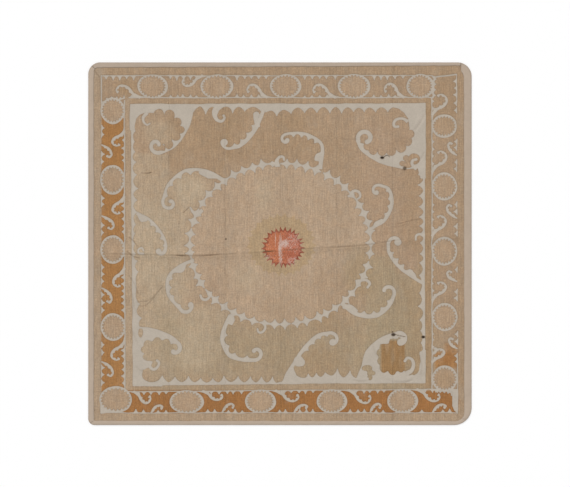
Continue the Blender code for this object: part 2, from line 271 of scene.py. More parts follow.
# The zigzag joint across the border at the top right: start, end, number of teeth, depth
ZIGZAG = ((78.7, 85.7), (78.5, 74.5), 4, 1.1)

# Toothed lines round the corner roundels: path, teeth and their depth
TOOTHED_LINES = table(
    "path teeth depth",
    ([(-91.4, 70.4), (-89.4, 72.6), (-85.8, 74.2), (-82.4, 73.8), (-79.4, 74.6)], 6, 1.2),
    ([(77.8, -74.6), (81.6, -75.2), (85.8, -75.4), (88.2, -76.4)], 5, -1.3),
)

# Plain bare patches
BARE_PATCHES = (
    [(-91.6, -80.8), (-90.4, -83.2), (-87, -86.2), (-91.6, -86.8)],
    [(87.6, -74.4), (88.4, -76.6), (88.3, -82.8), (89.4, -85.2), (91, -86.4), (91, -74.4)],
    [(0.9, -71.2), (3.5, -65.5), (6.4, -61.3), (7.4, -65), (8.6, -67.4), (10.7, -68.8), (10.9, -71.2)],
)

# Where scrolls and points stand: the border line's position and slope, the way that scrolls run
# along it, the way that they rise from it, and how tall the small points stand on it
BORDER_LINES = {
    (row["side"], row["line"]): row
    for row in table(
        "side line at slope along rise points",
        ("top", "in", 74.7, 0, (-1, 0), (0, 1), 1.4),
        ("top", "out", 86, 0, (-1, 0), (0, -1), 2),
        ("left", "in", -79.5, 0, (0, -1), (-1, 0), 1.4),
        ("left", "out", -91.2, 0, (0, -1), (1, 0), 1.4),
        ("bottom", "in", -75.1, 0.0075, (1, 0), (0, -1), 1.5),
        ("bottom", "out", -86.5, 0, (1, 0), (0, 1), 1.7),
        ("right", "in", 77.7, 0, (0, 1), (1, 0), 1),
        ("right", "out", 90.6, -0.003, (0, 1), (-1, 0), 1.5),
    )
}

# Bays between roundels, each from the end where its scroll has its foot to the far end
BAYS = {
    "top": [(-73, -90.4), (-40.8, -57.2), (-5.1, -23.7), (29.7, 10.8), (64.5, 46.1)],
    "left": [(61.2, 40.2), (25.2, 4.2), (-10.4, -35.4), (-49.7, -72.7)],
    "bottom": [(-75.6, -56.4), (-38.8, -17.8), (-2, 18.7), (34.6, 55), (70.6, 89)],
    "right": [(66.3, 85.2), (36.4, 54), (3.4, 22.1), (-30.3, -11.1), (-62.5, -44.6)],
}

# Scroll forms in a unit box: path, widths, radius of the tip, teeth and how deep they bite
LONG = {
    "path": [(0, 0), (0.24, 0.08), (0.42, 0.32), (0.52, 0.66), (0.64, 0.9), (0.8, 1), (0.94, 0.86),
             (1, 0.58), (0.96, 0.42)],
    "widths": (0.1, 0.6, 1.2, 0.9, 1, 0.8, 0.55, 0.4, 0.3),
    "tip": 0.4,
    "teeth": 7,
    "bite": 0.8,
}
SHORT = {
    "path": [(0, 0), (0.2, 0.5), (0.5, 0.90), (0.80, 1), (1, 0.8), (0.9, 0.55)],
    "widths": (0.3, 0.8, 1, 0.7, 0.5, 0.35),
    "tip": 0.35,
    "teeth": 5,
    "bite": 0.6,
}

# Roundels between the bays: x, y, half width, half height
ROUNDELS = {
    "top": [(-65.1, 80.4, 7.67, 6.03), (-32.2, 80.4, 8.28, 6.03), (2.9, 80.5, 7.87, 6.03),
        (37.9, 80.5, 8.18, 6.03), (71.9, 80.5, 7, 6.03)],
    "left": [(-85.6, 68, 6.13, 6.59), (-85.5, 32.7, 6.13, 7.36), (-85.5, -3, 6.13, 7.11),
        (-85.3, -42.5, 6.24, 6.9), (-84, -79.7, 8.08, 6.65)],
    "right": [(84, 60.2, 6.34, 5.93), (84.1, 29.3, 6.34, 7), (84.1, -3.8, 6.34, 7.16),
        (84.2, -37.5, 6.34, 7.05), (84.3, -69, 6.34, 6.44)],
    "bottom": [(-47.6, -80.8, 8.69, 5.83), (-9.9, -80.7, 7.77, 5.83), (26.6, -80.5, 7.67, 5.93),
        (62.8, -80.4, 7.67, 6.03)],
}

# Where each scroll has its foot, its length and its height, by border line and form
SCROLLS = table(
    "side line form places",
    ("top", "in", LONG, [(-69, 14.82, 6.34), (-4, 12.78, 6.85), (31.2, 14.31, 6.65),
     (66, 12.52, 7.26)]),
    ("top", "out", LONG, [(-37.3, 12.78, 5.42)]),
    ("left", "in", LONG, [(59.7, 9.71, 6.29), (26.4, 11.25, 6.19), (-10.4, 11.76, 5.93),
     (-47.7, 11.76, 6.75)]),
    ("left", "out", SHORT, [(50.5, 6.39, 5.21), (14.2, 6.9, 6.24), (-22.6, 7.67, 5.11),
     (-60.2, 7.67, 5.83)]),
    ("bottom", "in", LONG, [(-76.6, 10.48, 5.83), (-41.4, 12.01, 4.5), (-4.5, 14.06, 5.52),
     (32.5, 14.06, 6.75), (67.5, 14.31, 6.13)]),
    ("bottom", "out", SHORT, [(-65.9, 5.88, 3.99), (-29.6, 6.13, 4.6), (7.2, 6.9, 4.09),
     (46.1, 5.62, 4.7), (77.8, 7.16, 4.19)]),
    ("right", "in", LONG, [(63.2, 13.04, 7.67), (34.1, 13.04, 7.46), (1.4, 12.78, 7.26),
     (-31.3, 11.76, 7.26), (-62.5, 8.69, 6.34)]),
    ("right", "in", SHORT, [(-56.4, 3.07, 2.3)]),
    ("right", "out", SHORT, [(45.3, 6.49, 4.5), (12.9, 7.16, 5.21), (-19.3, 5.37, 5.32),
     (-53.6, 5.37, 4.5)]),
)

# The centre: a red sun of spiky rays on an olive scalloped disc
SUN = {"x": 1.6, "y": -1.9, "rx": 11.7, "ry": 11.2, "rays": 26, "depth": 2.7}
HALO = {"x": 0.8, "y": -0.6, "rx": 18.2, "ry": 16.4, "rays": 26, "depth": 2.2}

# Creases: path, depth and half width of the pressed line in millimetres, and how dark it is painted, soil
# together with painted shade in the crease
CREASES = table(
    "path depth width soil",
    ([(-94.5, -5), (-61.3, -5.8), (-44.9, -6), (-10.2, -4.5), (15.9, -2.5), (44, -0.7), (55.8, 1.2),
      (71.6, 3.4)],
     1.6, 5, 0.34),
    ([(-54.5, -5.8), (-46.5, -6.4), (-38, -6.2), (-28, -5)], 0.8, 4, 0.43),
    ([(-9.6, -3.9), (-6, -3.8), (-2.5, -3.6)], 0.8, 3, 0.87),
    ([(4, -3.2), (9, -2.7), (13.5, -2.3)], 0.8, 3, 0.65),
    ([(59.4, 9.8), (66, 11.6), (72.6, 12.9)], 1, 4, 0.52),
    ([(58, 8.2), (61.3, 8.9), (65.5, 10.4)], 0.8, 3, 0.38),
    ([(-71.4, 36.4), (-68.5, 35.9), (-65.2, 36.6)], 0.9, 5, 0.8),
    ([(-70.6, 37.2), (-68, 37.6), (-65.9, 37.3)], 0.7, 3, 0.29),
    ([(-74, -30), (-70.4, -29.6), (-66.4, -28.6), (-62.4, -24.8), (-59, -20.8)], 1.2, 5, 0.42),
    ([(-72.8, -31.4), (-69.2, -31.8), (-66.2, -29.4), (-63.2, -26.4)], 0.9, 4, 0.49),
    ([(-77.6, 3.6), (-74.9, 1.4), (-72.6, -1.6)], 1, 4, 0.58),
    ([(-78.6, -3.4), (-75, -6.4), (-71, -7.6)], 1, 5, 0.49),
    ([(-77.7, -15.5), (-74.1, -21.1), (-72.2, -26.4)], 0.9, 4, 0.49),
    ([(-78, -20), (-75.4, -26), (-74.4, -34)], 0.8, 4, 0.26),
    ([(-49.8, 15.6), (-48.4, 16.8), (-46.2, 18.9)], 0.7, 4, 0.65),
    ([(0, 86), (0.1, 60), (0.3, 20), (0.2, -30), (0, -86)], 0.6, 4, 0.03),
    ([(-96.1, 90.3), (-91.9, 84.7)], 1, 3, 0.8),
    ([(74.4, 67), (71.4, 61.4), (67.6, 56.6)], 1.4, 8, 0.12),
    ([(74, 47.4), (72.2, 43.6), (69, 40.4)], 1.2, 7, 0.12),
    ([(31, 53.6), (35, 53.3), (40, 53.5)], 0.7, 4, 0.23),
    ([(52.6, 43.9), (54.9, 45.3), (56.4, 44.2)], 0.5, 3, 0.98),
    ([(57.6, -46), (61, -47), (64.8, -47.8)], 0.6, 3, 0.98),
    ([(37, -69.5), (41, -70.5), (46, -69.8)], 1.2, 6, 0.15),
    ([(54, -69), (58, -70.5), (64, -70.8), (69, -69.2)], 1.2, 7, 0.13),
    ([(71.5, -57), (72.6, -62), (72, -68)], 1, 6, 0.13),
    ([(46.5, -48), (49, -56), (52.5, -62)], 1, 6, 0.11),
    ([(-75.5, -44), (-73, -50), (-70, -55)], 1.2, 7, 0.15),
    ([(-74.5, -62), (-71, -65), (-66, -66.5)], 1, 6, 0.12),
)


# ---- outlines ----


def curve(points, per):
    """A smooth centripetal curve through the points, sampled evenly."""
    p = np.array(points, float)
    if len(p) == 2:
        return resample(p, per)
    p = np.vstack([2 * p[0] - p[1], p, 2 * p[-1] - p[-2]])
    t = np.concatenate([[0], np.cumsum(np.sqrt(np.hypot(*np.diff(p, axis=0).T)))])
    out = []
    for i in range(1, len(p) - 2):
        count = max(3, int(np.hypot(*(p[i + 1] - p[i])) / per * 1.5) + 1)
        s = np.linspace(t[i], t[i + 1], count, endpoint=False)[:, None]

        def blend(a, b, start, end):
            return ((end - s) * a + (s - start) * b) / (end - start)

        a1 = blend(p[i - 1], p[i], t[i - 1], t[i])
        a2 = blend(p[i], p[i + 1], t[i], t[i + 1])
        a3 = blend(p[i + 1], p[i + 2], t[i + 1], t[i + 2])
        b1 = blend(a1, a2, t[i - 1], t[i + 1])
        b2 = blend(a2, a3, t[i], t[i + 2])
        out.append(blend(b1, b2, t[i], t[i + 1]))
    return resample(np.vstack([*out, p[-2][None, :]]), per)


def resample(path, per):
    along = np.concatenate([[0], np.cumsum(np.hypot(*np.diff(path, axis=0).T))])
    s = np.linspace(0, along[-1], max(2, int(round(along[-1] / per)) + 1))
    return np.stack([np.interp(s, along, path[:, 0]), np.interp(s, along, path[:, 1])], 1)


def normals(path):
    t = np.gradient(path, axis=0)
    t /= np.hypot(t[:, 0], t[:, 1])[:, None] + 1e-9
    return np.stack([-t[:, 1], t[:, 0]], 1)


def cusp(u, power=1.6):
    """1 at whole numbers and 0 half way between them: sharp at the ones, round at the noughts."""
    v = np.abs(2 * np.mod(u, 1.0) - 1)
    return 0.4 * (1 - np.sqrt(np.clip(1 - v * v, 0, 1))) + 0.6 * v**power


def disc(x, y, rx, ry, count=30):
    a = np.linspace(0, 2 * math.pi, count, endpoint=False)
    return np.stack([x + rx * np.cos(a), y + ry * np.sin(a)], 1)


def toothed(x, y, rx, ry, count, depth):
    """A disc with sharp notches cut into its edge."""
    a = np.linspace(0, 2 * math.pi, count * 6, endpoint=False)
    notch = depth * cusp(a / (2 * math.pi) * count)
    return np.stack([x + (rx - notch) * np.cos(a), y + (ry - notch) * np.sin(a)], 1)


def stroke(points, widths, per=0.3, teeth=0, depth=0.0):
    """A band along a path, with widths at even shares of its length. It can have teeth along its
    left side, or its right side if their depth is less than 0."""
    path = curve(points, per)
    across = normals(path)
    share = np.linspace(0, 1, len(path))
    w = np.interp(share, np.linspace(0, 1, len(widths)), widths)[:, None] / 2
    notch = (depth * cusp(share * teeth, 2.2) * smooth(0.04, 0.2, share))[:, None] if teeth else np.zeros(1)
    left, right = np.maximum(notch, 0), np.maximum(-notch, 0)
    return np.vstack([path + across * (w + left), (path - across * (w + right))[::-1]])


def outer_edge(leaf):
    """A leaf's smooth outer edge as far as its curl, and which way it bends."""
    eye = np.array(leaf["eye"], float)
    points = [np.array(p, float) for p in (leaf["start"], *leaf["bellies"])]
    last, before, toward = points[-1], points[-1] - points[-2], eye - points[-1]
    bend = 1.0 if before[0] * toward[1] - before[1] * toward[0] > 0 else -1.0
    reach = np.hypot(*toward)
    heading = math.atan2(toward[1], toward[0]) - bend * math.asin(min(1, leaf["radius"] / reach))
    run = math.sqrt(max(reach**2 - leaf["radius"] ** 2, 0.01))
    entry = last + run * np.array([math.cos(heading), math.sin(heading)])
    return curve([*points, entry], 0.4), bend


def comma(leaf):
    """A comma leaf as bare outlines: body and curl in one, and the bulb at its tip."""
    body, bend = outer_edge(leaf)
    eye, radius, sweep = np.array(leaf["eye"], float), leaf["radius"], math.radians(leaf["turn"])
    start = math.atan2(body[-1][1] - eye[1], body[-1][0] - eye[0])
    count = max(8, int(radius * sweep / 0.3))
    k = np.linspace(0, 1, count + 1)[1:]
    angle = start + bend * sweep * k
    reach = radius * (1 - (1 - leaf["tight"]) * k)
    spiral = np.stack([eye[0] + reach * np.cos(angle), eye[1] + reach * np.sin(angle)], 1)
    outer = np.vstack([body, spiral])
    t = np.linspace(0, 1, len(body))
    swell = np.sin(math.pi * (0.14 + 0.72 * t)) ** 0.45
    first, last, cusps = leaf["first"], leaf["last"], leaf["cusps"]
    u = (t - first) / (last - first) * (cusps - 1)
    tooth = np.where((u >= -0.5) & (u <= cusps - 0.5), cusp(u, 2.1), 0.0)
    width = leaf["width"] * swell * (leaf["hollow"] + (1 - leaf["hollow"]) * tooth)
    stem = leaf["width"] * leaf["base"]
    if first > 0:
        width = np.where(t < first, stem + (width - stem) * (t / first), width)
    width = np.maximum(width, 0.31)
    into_curl = np.clip((t - last) / (1 - last), 0, 1)
    width = width * (1 - into_curl) + leaf["curl"] * into_curl
    width = np.concatenate([width, np.full(len(spiral), leaf["curl"])])
    across = normals(outer) * bend
    inner = outer + across * width[:, None]
    tip = outer[-1] + across[-1] * leaf["bulb"]
    return [np.vstack([outer, inner[::-1]]), disc(tip[0], tip[1], leaf["bulb"], leaf["bulb"])]


def scallops(margin):
    """The bare margin between the field's edge and its scalloped embroidery."""
    axis, (start, end) = margin["axis"], (np.array(margin[k], float) for k in ("start", "end"))
    at, depth = [], []
    for (a, tip_a, hollow), (b, tip_b, _) in zip(margin["knots"], margin["knots"][1:]):
        u = np.linspace(0, 1, max(8, int(abs(b - a) / 0.36)), endpoint=False)
        at.append(a + (b - a) * u)
        depth.append(hollow + (tip_a + (tip_b - tip_a) * u - hollow) * cusp(u))
    at = np.concatenate([*at, [margin["knots"][-1][0]]])
    depth = np.concatenate([*depth, [margin["knots"][-1][1]]])
    share = (at - start[axis]) / (end[axis] - start[axis])
    edge = start + (end - start) * share[:, None]
    return np.vstack([edge, (edge + np.array(margin["inward"], float) * depth[:, None])[::-1]])


def lozenges():
    """The ring round the medallion: hollow-sided lozenges, point to point, none quite alike."""
    cx, cy, rx, ry = RING
    chance = np.random.default_rng(5)
    a = np.linspace(0, 2 * math.pi, 2001)
    path = np.stack([cx + rx * np.cos(a), cy + ry * np.sin(a)], 1)
    s = np.concatenate([[0], np.cumsum(np.hypot(*np.diff(path, axis=0).T))])
    marks = (np.arange(LOZENGES) + 0.3 * (chance.random(LOZENGES) - 0.5)) / LOZENGES * s[-1]
    half = s[-1] / LOZENGES / 2 * 1.02
    waist = 0.2
    u = np.linspace(0, 1, 8)
    hollow = cusp(0.5 + u / 2, 2.2)
    out = []
    for angle in np.interp(marks, s, a):
        centre = np.array([cx + rx * math.cos(angle), cy + ry * math.sin(angle)])
        along = np.array([-rx * math.sin(angle), ry * math.cos(angle)])
        along /= np.hypot(*along)
        outward = np.array([along[1], -along[0]])
        tall, deep = 2.6 * (0.82 + 0.36 * chance.random(2))
        lean = 1.2 * (chance.random() - 0.5)
        if min(np.hypot(*(centre - row["path"][0])) for row in TENDRILS) < 3.0:
            tall, deep = 0.5 * tall, 0.6 * deep

        def side(end, height):
            across = end * half + (lean - end * half) * u
            rise = math.copysign(waist, height) + (height - math.copysign(waist, height)) * hollow
            return [centre + along * q + outward * m for q, m in zip(across, rise)]

        out.append(np.array(side(1, tall) + side(-1, tall)[::-1] + side(-1, -deep) + side(1, -deep)[::-1]))
    return out


def on_border(side, line, at, points):
    """Points given along and away from a border line, placed at a position on it."""
    row = BORDER_LINES[side, line]
    level = row["at"] + row["slope"] * at
    origin = np.array([at, level] if side in ("top", "bottom") else [level, at])
    p = np.array(points, float)
    return origin + p[:, :1] * np.array(row["along"], float) + p[:, 1:] * np.array(row["rise"], float)


def scroll(row, foot, length, height):
    """One curling scroll and its tip, with its teeth on the hollow side."""
    form = row["form"]
    points = on_border(row["side"], row["line"], foot, [(a * length, b * height) for a, b in form["path"]])
    line = BORDER_LINES[row["side"], row["line"]]
    along, rise = line["along"], line["rise"]
    left = along[0] * rise[1] - along[1] * rise[0]
    depth = math.copysign(form["bite"], -left)
    tip = disc(*points[-1], form["tip"], form["tip"])
    return [stroke(points, form["widths"], 0.3, form["teeth"], depth), tip]


def points_along(side, line, start, end, feet, chance):
    """A row of small hollow-sided points standing on a border line, clear of the scrolls' feet."""
    count = max(1, round(abs(end - start) / 3.6))
    u = np.linspace(0, 1, 6)
    rise = cusp(0.5 + u / 2)
    half = 1.5
    out = []
    for k in range(count):
        at = start + (end - start) * (k + 0.5) / count + chance.normal() * 0.25
        height = BORDER_LINES[side, line]["points"] * (0.75 + 0.5 * chance.random())
        if any(abs(at - foot) < 2.2 for foot in feet):
            continue
        up = [(-half + half * a, height * b) for a, b in zip(u, rise)]
        down = [(half - half * a, height * b) for a, b in zip(u, rise)][::-1]
        out.append(on_border(side, line, at, [(-half, -0.1), *up, *down, (half, -0.1)]))
    return out


def zigzag(start, end, count, depth):
    """A line with teeth on both sides, each half a tooth out of step with the other's."""
    start, end = np.array(start, float), np.array(end, float)
    length = np.hypot(*(end - start))
    along = (end - start) / length
    across = np.array([along[1], -along[0]])
    s = np.linspace(0, length, count * 12 + 1)
    path = start + along * s[:, None]
    above = cusp(s / length * count) * depth + 0.1
    below = cusp(s / length * count + 0.5) * depth + 0.1
    return np.vstack([path + across * above[:, None], (path - across * below[:, None])[::-1]])


def scroll_feet(side, line):
    rows = (row for row in SCROLLS if (row["side"], row["line"]) == (side, line))
    return [place[0] for row in rows for place in row["places"]]


def bay_points():
    """The points between the scrolls, along both lines of every bay."""
    chance = np.random.default_rng(7)
    out = []
    for side, bays in BAYS.items():
        for foot_end, far_end in bays:
            way = 1 if far_end > foot_end else -1
            low, high = min(foot_end, far_end) - 4.6, max(foot_end, far_end) + 4.6
            for line in ("out", "in"):
                feet = [foot for foot in scroll_feet(side, line) if low <= foot <= high]
                start, end = foot_end, far_end
                if line == "in":
                    start = feet[0] + way * 5.0 if feet else foot_end
                    if side == "top":
                        end = max(far_end, -78.0)
                    if side == "right":
                        end = min(far_end, 74.0)
                if way * (end - start) > 2.6:
                    out += points_along(side, line, start, end, feet, chance)
    return out


def design():
    """The whole design as outlines in order, each bare ground or worked over what is under it."""
    out = [("bare", scallops(margin)) for margin in MARGINS]
    for leaf in CORNER_LEAVES:
        out.append(("bare", np.vstack([outer_edge(leaf)[0], np.array(leaf["inner"], float)])))
    out += [("worked", disc(*lobe)) for lobe in LOBES]
    for leaf in [*({**PLAIN_BODY, **leaf} for leaf in CORNER_LEAVES), *LEAVES]:
        out += [("bare", shape) for shape in comma(leaf)]
    out += [("bare", shape) for shape in lozenges()]
    for row in PADS:
        out.append(("bare", stroke(row["path"], row["widths"])))
        out.append(("bare", disc(*row["path"][0], row["head"], row["head"])))
    for row in TENDRILS:
        out.append(("bare", stroke(row["path"], row["widths"])))
        out.append(("bare", disc(*row["path"][-1], row["tip"], row["tip"])))
    out.append(("bare", zigzag(*ZIGZAG)))
    for row in TOOTHED_LINES:
        out.append(("bare", stroke(row["path"], (0.2, 0.2), 0.3, row["teeth"], row["depth"])))
    out += [("bare", np.array(patch)) for patch in BARE_PATCHES]
    out += [("bare", stroke((row["start"], row["end"]), (row["width"],) * 2, 2.0)) for row in GUARD_LINES]
    for row in SCROLLS:
        for place in row["places"]:
            out += [("bare", shape) for shape in scroll(row, *place)]
    out += [("bare", shape) for shape in bay_points()]
    for side, places in ROUNDELS.items():
        for x, y, rx, ry in places:
            out.append(("bare", disc(x, y, rx, ry, 40)))
            if side in ("top", "bottom"):
                out.append(("worked", toothed(x - 0.2, y, rx - 0.6, ry - 0.1, 24, 1.0)))
            else:
                out.append(("worked", toothed(x, y, rx - 0.25, ry - 0.5, 22, 0.95)))
    return out


def outline_distance(px, py, outline):
    """Distance to a closed outline, less than 0 inside it."""
    a, b = outline, np.roll(outline, -1, 0)
    e = b - a
    keep = (e**2).sum(1) > 1e-12
    a, b, e = a[keep], b[keep], e[keep]
    nearest = np.full(px.shape, np.inf)
    inside = np.zeros(px.shape, bool)
    for (ax, ay), (bx, by), (ex, ey) in zip(a, b, e):
        wx, wy = px - ax, py - ay
        t = np.clip((wx * ex + wy * ey) / (ex * ex + ey * ey), 0, 1)
        np.minimum(nearest, (wx - ex * t) ** 2 + (wy - ey * t) ** 2, out=nearest)
        crosses = (ay > py) != (by > py)
        inside ^= crosses & (px < ex * (py - ay) / (ey if ey else 1e-30) + ax)
    return np.where(inside, -1, 1) * np.sqrt(nearest)


def path_distance(px, py, path):
    """Distance to an open path, and how far along it the nearest place lies, from 0 to 1."""
    nearest, share = np.full(px.shape, np.inf), np.zeros(px.shape)
    for k, ((ax, ay), (bx, by)) in enumerate(zip(path, path[1:])):
        ex, ey = bx - ax, by - ay
        t = np.clip(((px - ax) * ex + (py - ay) * ey) / (ex * ex + ey * ey), 0, 1)
        d = np.hypot(px - ax - ex * t, py - ay - ey * t)
        closer = d < nearest
        nearest[closer], share[closer] = d[closer], (k + t[closer]) / (len(path) - 1)
    return nearest, share


def stitch_depth(x, y, outlines):
    """How far inside the embroidery each point lies, in centimetres: less than 0 on bare ground."""
    depth = np.full(x.shape, REACH)
    sway_x = 0.16 * ripple(x, y, 7.0, 7.0, 51) + 0.09 * ripple(x, y, 2.1, 2.1, 52)
    sway_y = 0.16 * ripple(x, y, 7.0, 7.0, 53) + 0.09 * ripple(x, y, 2.1, 2.1, 54)
    x, y = x + sway_x, y + sway_y
    for kind, outline in outlines:
        (x0, y0), (x1, y1) = outline.min(0) - REACH, outline.max(0) + REACH
        near = np.nonzero((x > x0) & (x < x1) & (y > y0) & (y < y1))[0]
        s = outline_distance(x[near], y[near], outline)
        depth[near] = np.minimum(depth[near], s) if kind == "bare" else np.maximum(depth[near], -s)
    return depth - SHOW


# ---- cloth ----


def smooth(low, high, value):
    t = np.clip((value - low) / (high - low), 0, 1)
    return t * t * (3 - 2 * t)


def corner_radius(x, y):
    radius = {name: rings["edge"][2] for name, rings in CORNERS.items()}
    top = np.where(x > 0, radius["top_right"], radius["top_left"])
    return np.where(y > 0, top, np.where(x > 0, radius["bottom_right"], radius["bottom_left"]))


def edge_distance(x, y):
    """How far inside the rounded outline a point lies."""
    radius = corner_radius(x, y)
    dx, dy = np.abs(x) - (HALF_W - radius), np.abs(y) - (HALF_D - radius)
    return radius - np.where((dx > 0) & (dy > 0), np.hypot(dx, dy), np.maximum(dx, dy))


def lift(x, y):
    """Height of the ground's underside over the surface that it lies on, as in the solids."""
    free = smooth(HELD_DOWN, FREE, edge_distance(x, y))
    fold = np.interp(x, *zip(*FOLD_LINE))
    ridge = FOLD_HEIGHT * (1 - smooth(0, FOLD_REACH, np.abs(y - fold)))
    ridge = ridge + CENTRE_FOLD_HEIGHT * (1 - smooth(0, CENTRE_FOLD_REACH, np.abs(x - CENTRE_SEAM)))
    for bx, by, radius, height in BILLOWS:
        ridge = ridge + height * (1 - smooth(0, radius, np.hypot(x - bx, y - by)))
    return EDGE_LIFT * (1 - free) + ridge * free


def ground_reach(x, side):
    """The ground's top or bottom edge at a given X, with its corners rounded."""
    radius = corner_radius(x, np.full_like(x, 1 if side == "top" else -1)) - GROUND_INSET
    over = np.clip(np.abs(x) - (HALF_W - GROUND_INSET - radius), 0, radius)
    reach = HALF_D - GROUND_INSET - radius + np.sqrt(radius**2 - over**2)
    return reach if side == "top" else -reach


def ripple(x, y, wide, tall, seed):
    """Soft uneven waves between -1 and 1, of about the given size."""
    lattice = np.random.default_rng(seed).uniform(-1, 1, (64, 64))
    u, v = np.mod(x / wide, 64), np.mod(y / tall, 64)
    i, j = u.astype(int), v.astype(int)
    fu, fv = u - i, v - j
    fu, fv = fu * fu * (3 - 2 * fu), fv * fv * (3 - 2 * fv)
    i2, j2 = (i + 1) % 64, (j + 1) % 64
    low = lattice[i, j] * (1 - fu) + lattice[i2, j] * fu
    high = lattice[i, j2] * (1 - fu) + lattice[i2, j2] * fu
    return low * (1 - fv) + high * fv


def crease_marks(x, y):
    """Height of the creases, and their darkening by soil caught in them and painted shade, at points in
    metres.
    """
    height, soil = np.zeros(x.shape), np.zeros(x.shape)
    for row in CREASES:
        path = curve(row["path"], 1.0) * CM
        reach = 6 * row["width"] / 1000
        (x0, y0), (x1, y1) = path.min(0) - reach, path.max(0) + reach
        near = np.nonzero((x > x0) & (x < x1) & (y > y0) & (y < y1))[0]
        d, along = path_distance(x[near], y[near], path)
        fade = smooth(0, 0.12, along) * smooth(0, 0.12, 1 - along)
        uneven = 0.8 + 0.45 * ripple(x[near], y[near], 0.05, 0.05, 11)
        u = d / (row["width"] / 1000)
        valley = np.exp(-((u * 1.6) ** 2))
        shoulder = np.exp(-(((u - 1.7) / 0.9) ** 2))
        height[near] += row["depth"] / 1000 * fade * uneven * (0.8 * shoulder - valley)
        # Painted shade and soil darken the crease's valley
        soil[near] += row["soil"] * fade * uneven * valley
    return height, soil


def face_height(x, y, depth):
    """Height of the cloth's face over its underside."""
    inside = edge_distance(x, y)
    free = smooth(*CLEAR_OF_BINDING, inside)
    thick = BARE + (WORKED - BARE) * smooth(-0.02, 0.30, depth)
    thick = np.minimum(thick, UNDER_BINDING) * (1 - free) + thick * free
    puckers = 0.00035 * ripple(x, y, 0.022, 0.030, 1) + 0.0004 * ripple(x, y, 0.07, 0.09, 2)
    crease, _ = crease_marks(x, y)
    return thick + free * (puckers + 0.0004 + crease)


# ---- dye and soil ----


# How much brighter than its own colour a flat face shows under this scene's light
LIGHT = 1.10

DYES = {
    "tan": (167, 142, 116),
    "pale": (179, 160, 135),
    "brown": (158, 131, 100),
    "pink": (168, 142, 117),
    "olive": (160, 143, 116),
    "medallion": (175, 151, 126),
    "guard": (165, 140, 113),
    "pale_guard": (169, 146, 121),
    "border": (165, 140, 114),
    "roundel": (171, 146, 120),
    "rust": (162, 118, 73),
    "deep_rust": (154, 108, 65),
    "stain": (151, 115, 74),
    "halo": (170, 145, 112),
    "cream": (186, 175, 161),
    "binding": (183, 166, 149),
    "rubbed": (206, 192, 178),
    "sun_left": (206, 130, 90),
    "sun_right": (192, 112, 86),
    "sun_thread": (166, 98, 72),
    "sun_edge": (140, 72, 54),
    "sun_worn": (210, 184, 172),
}


def linear(dye):
    """A dye as the linear colour that shows as its sRGB one, 0 to 255, under this scene's light."""
    c = np.array(DYES[dye], float) / 255
    return np.where(c <= 0.04045, c / 12.92, ((c + 0.055) / 1.055) ** 2.4) / LIGHT


# Panels of even dye with straight edges: left, right, bottom, top, how soft the edges are, strength
PANELS = table(
    "dye x0 x1 y0 y1 soft strength",
    ("guard", -98, 98, -93, 93, 1, 1),
    ("pale_guard", -98, -91, -93, 93, 0.5, 1),
    ("pale_guard", -98, 98, -93, -86.5, 0.5, 0.8),
    ("border", -91, 90.5, -86.5, 86, 0.8, 1),
    ("guard", -79.5, 77.7, -75.2, 74.7, 0.5, 1),
    ("pale_guard", -79.5, -76, -75.2, 74.7, 0.4, 0.7),
    ("tan", -76, 74, -72, 71, 0.5, 1),
    ("pale", -76, -56.7, -20, 46, 1, 0.5),
    ("pale", -76, -45, -66, 20, 8, 0.65),
    ("olive", -60, 76, -72, -38, 14, 0.6),
    ("olive", 44, 74, -75, -6.3, 0.8, 0.45),
    ("olive", 44, 74, -60, -6, 8, 0.4),
    ("pink", 44, 76, -4, 62, 8, 0.6),
    ("brown", -56.7, -28.6, 33, 71, 0.5, 0.22),
    ("brown", -27.6, -25.4, 44, 64, 0.5, 0.45),
    ("brown", -56.7, 20, 44, 70, 10, 0.25),
    ("brown", -28, 30, 41, 56, 7, 0.22),
    ("brown", 64, 78, -75, 50, 6, 0.35),
    ("brown", 74.3, 77.6, -75, 74.7, 0.4, 0.6),
    ("rust", -91.2, -79.5, -76, 66.5, 0.5, 1),
    ("deep_rust", -80, 90.9, -86.5, -75, 0.5, 1),
    ("rust", 79.5, 90.8, -63.5, -55.5, 1.2, 0.9),
    ("rust", 85, 90.8, -56, -51.5, 1.6, 0.8),
    ("stain", 51.8, 63.8, -67.4, -49.4, 0.7, 0.85),
)

# Where a patch begins to fade, as a share of the way out from its centre
PATCH_EDGE = 0.3
MEDALLION_EDGE = 0.97

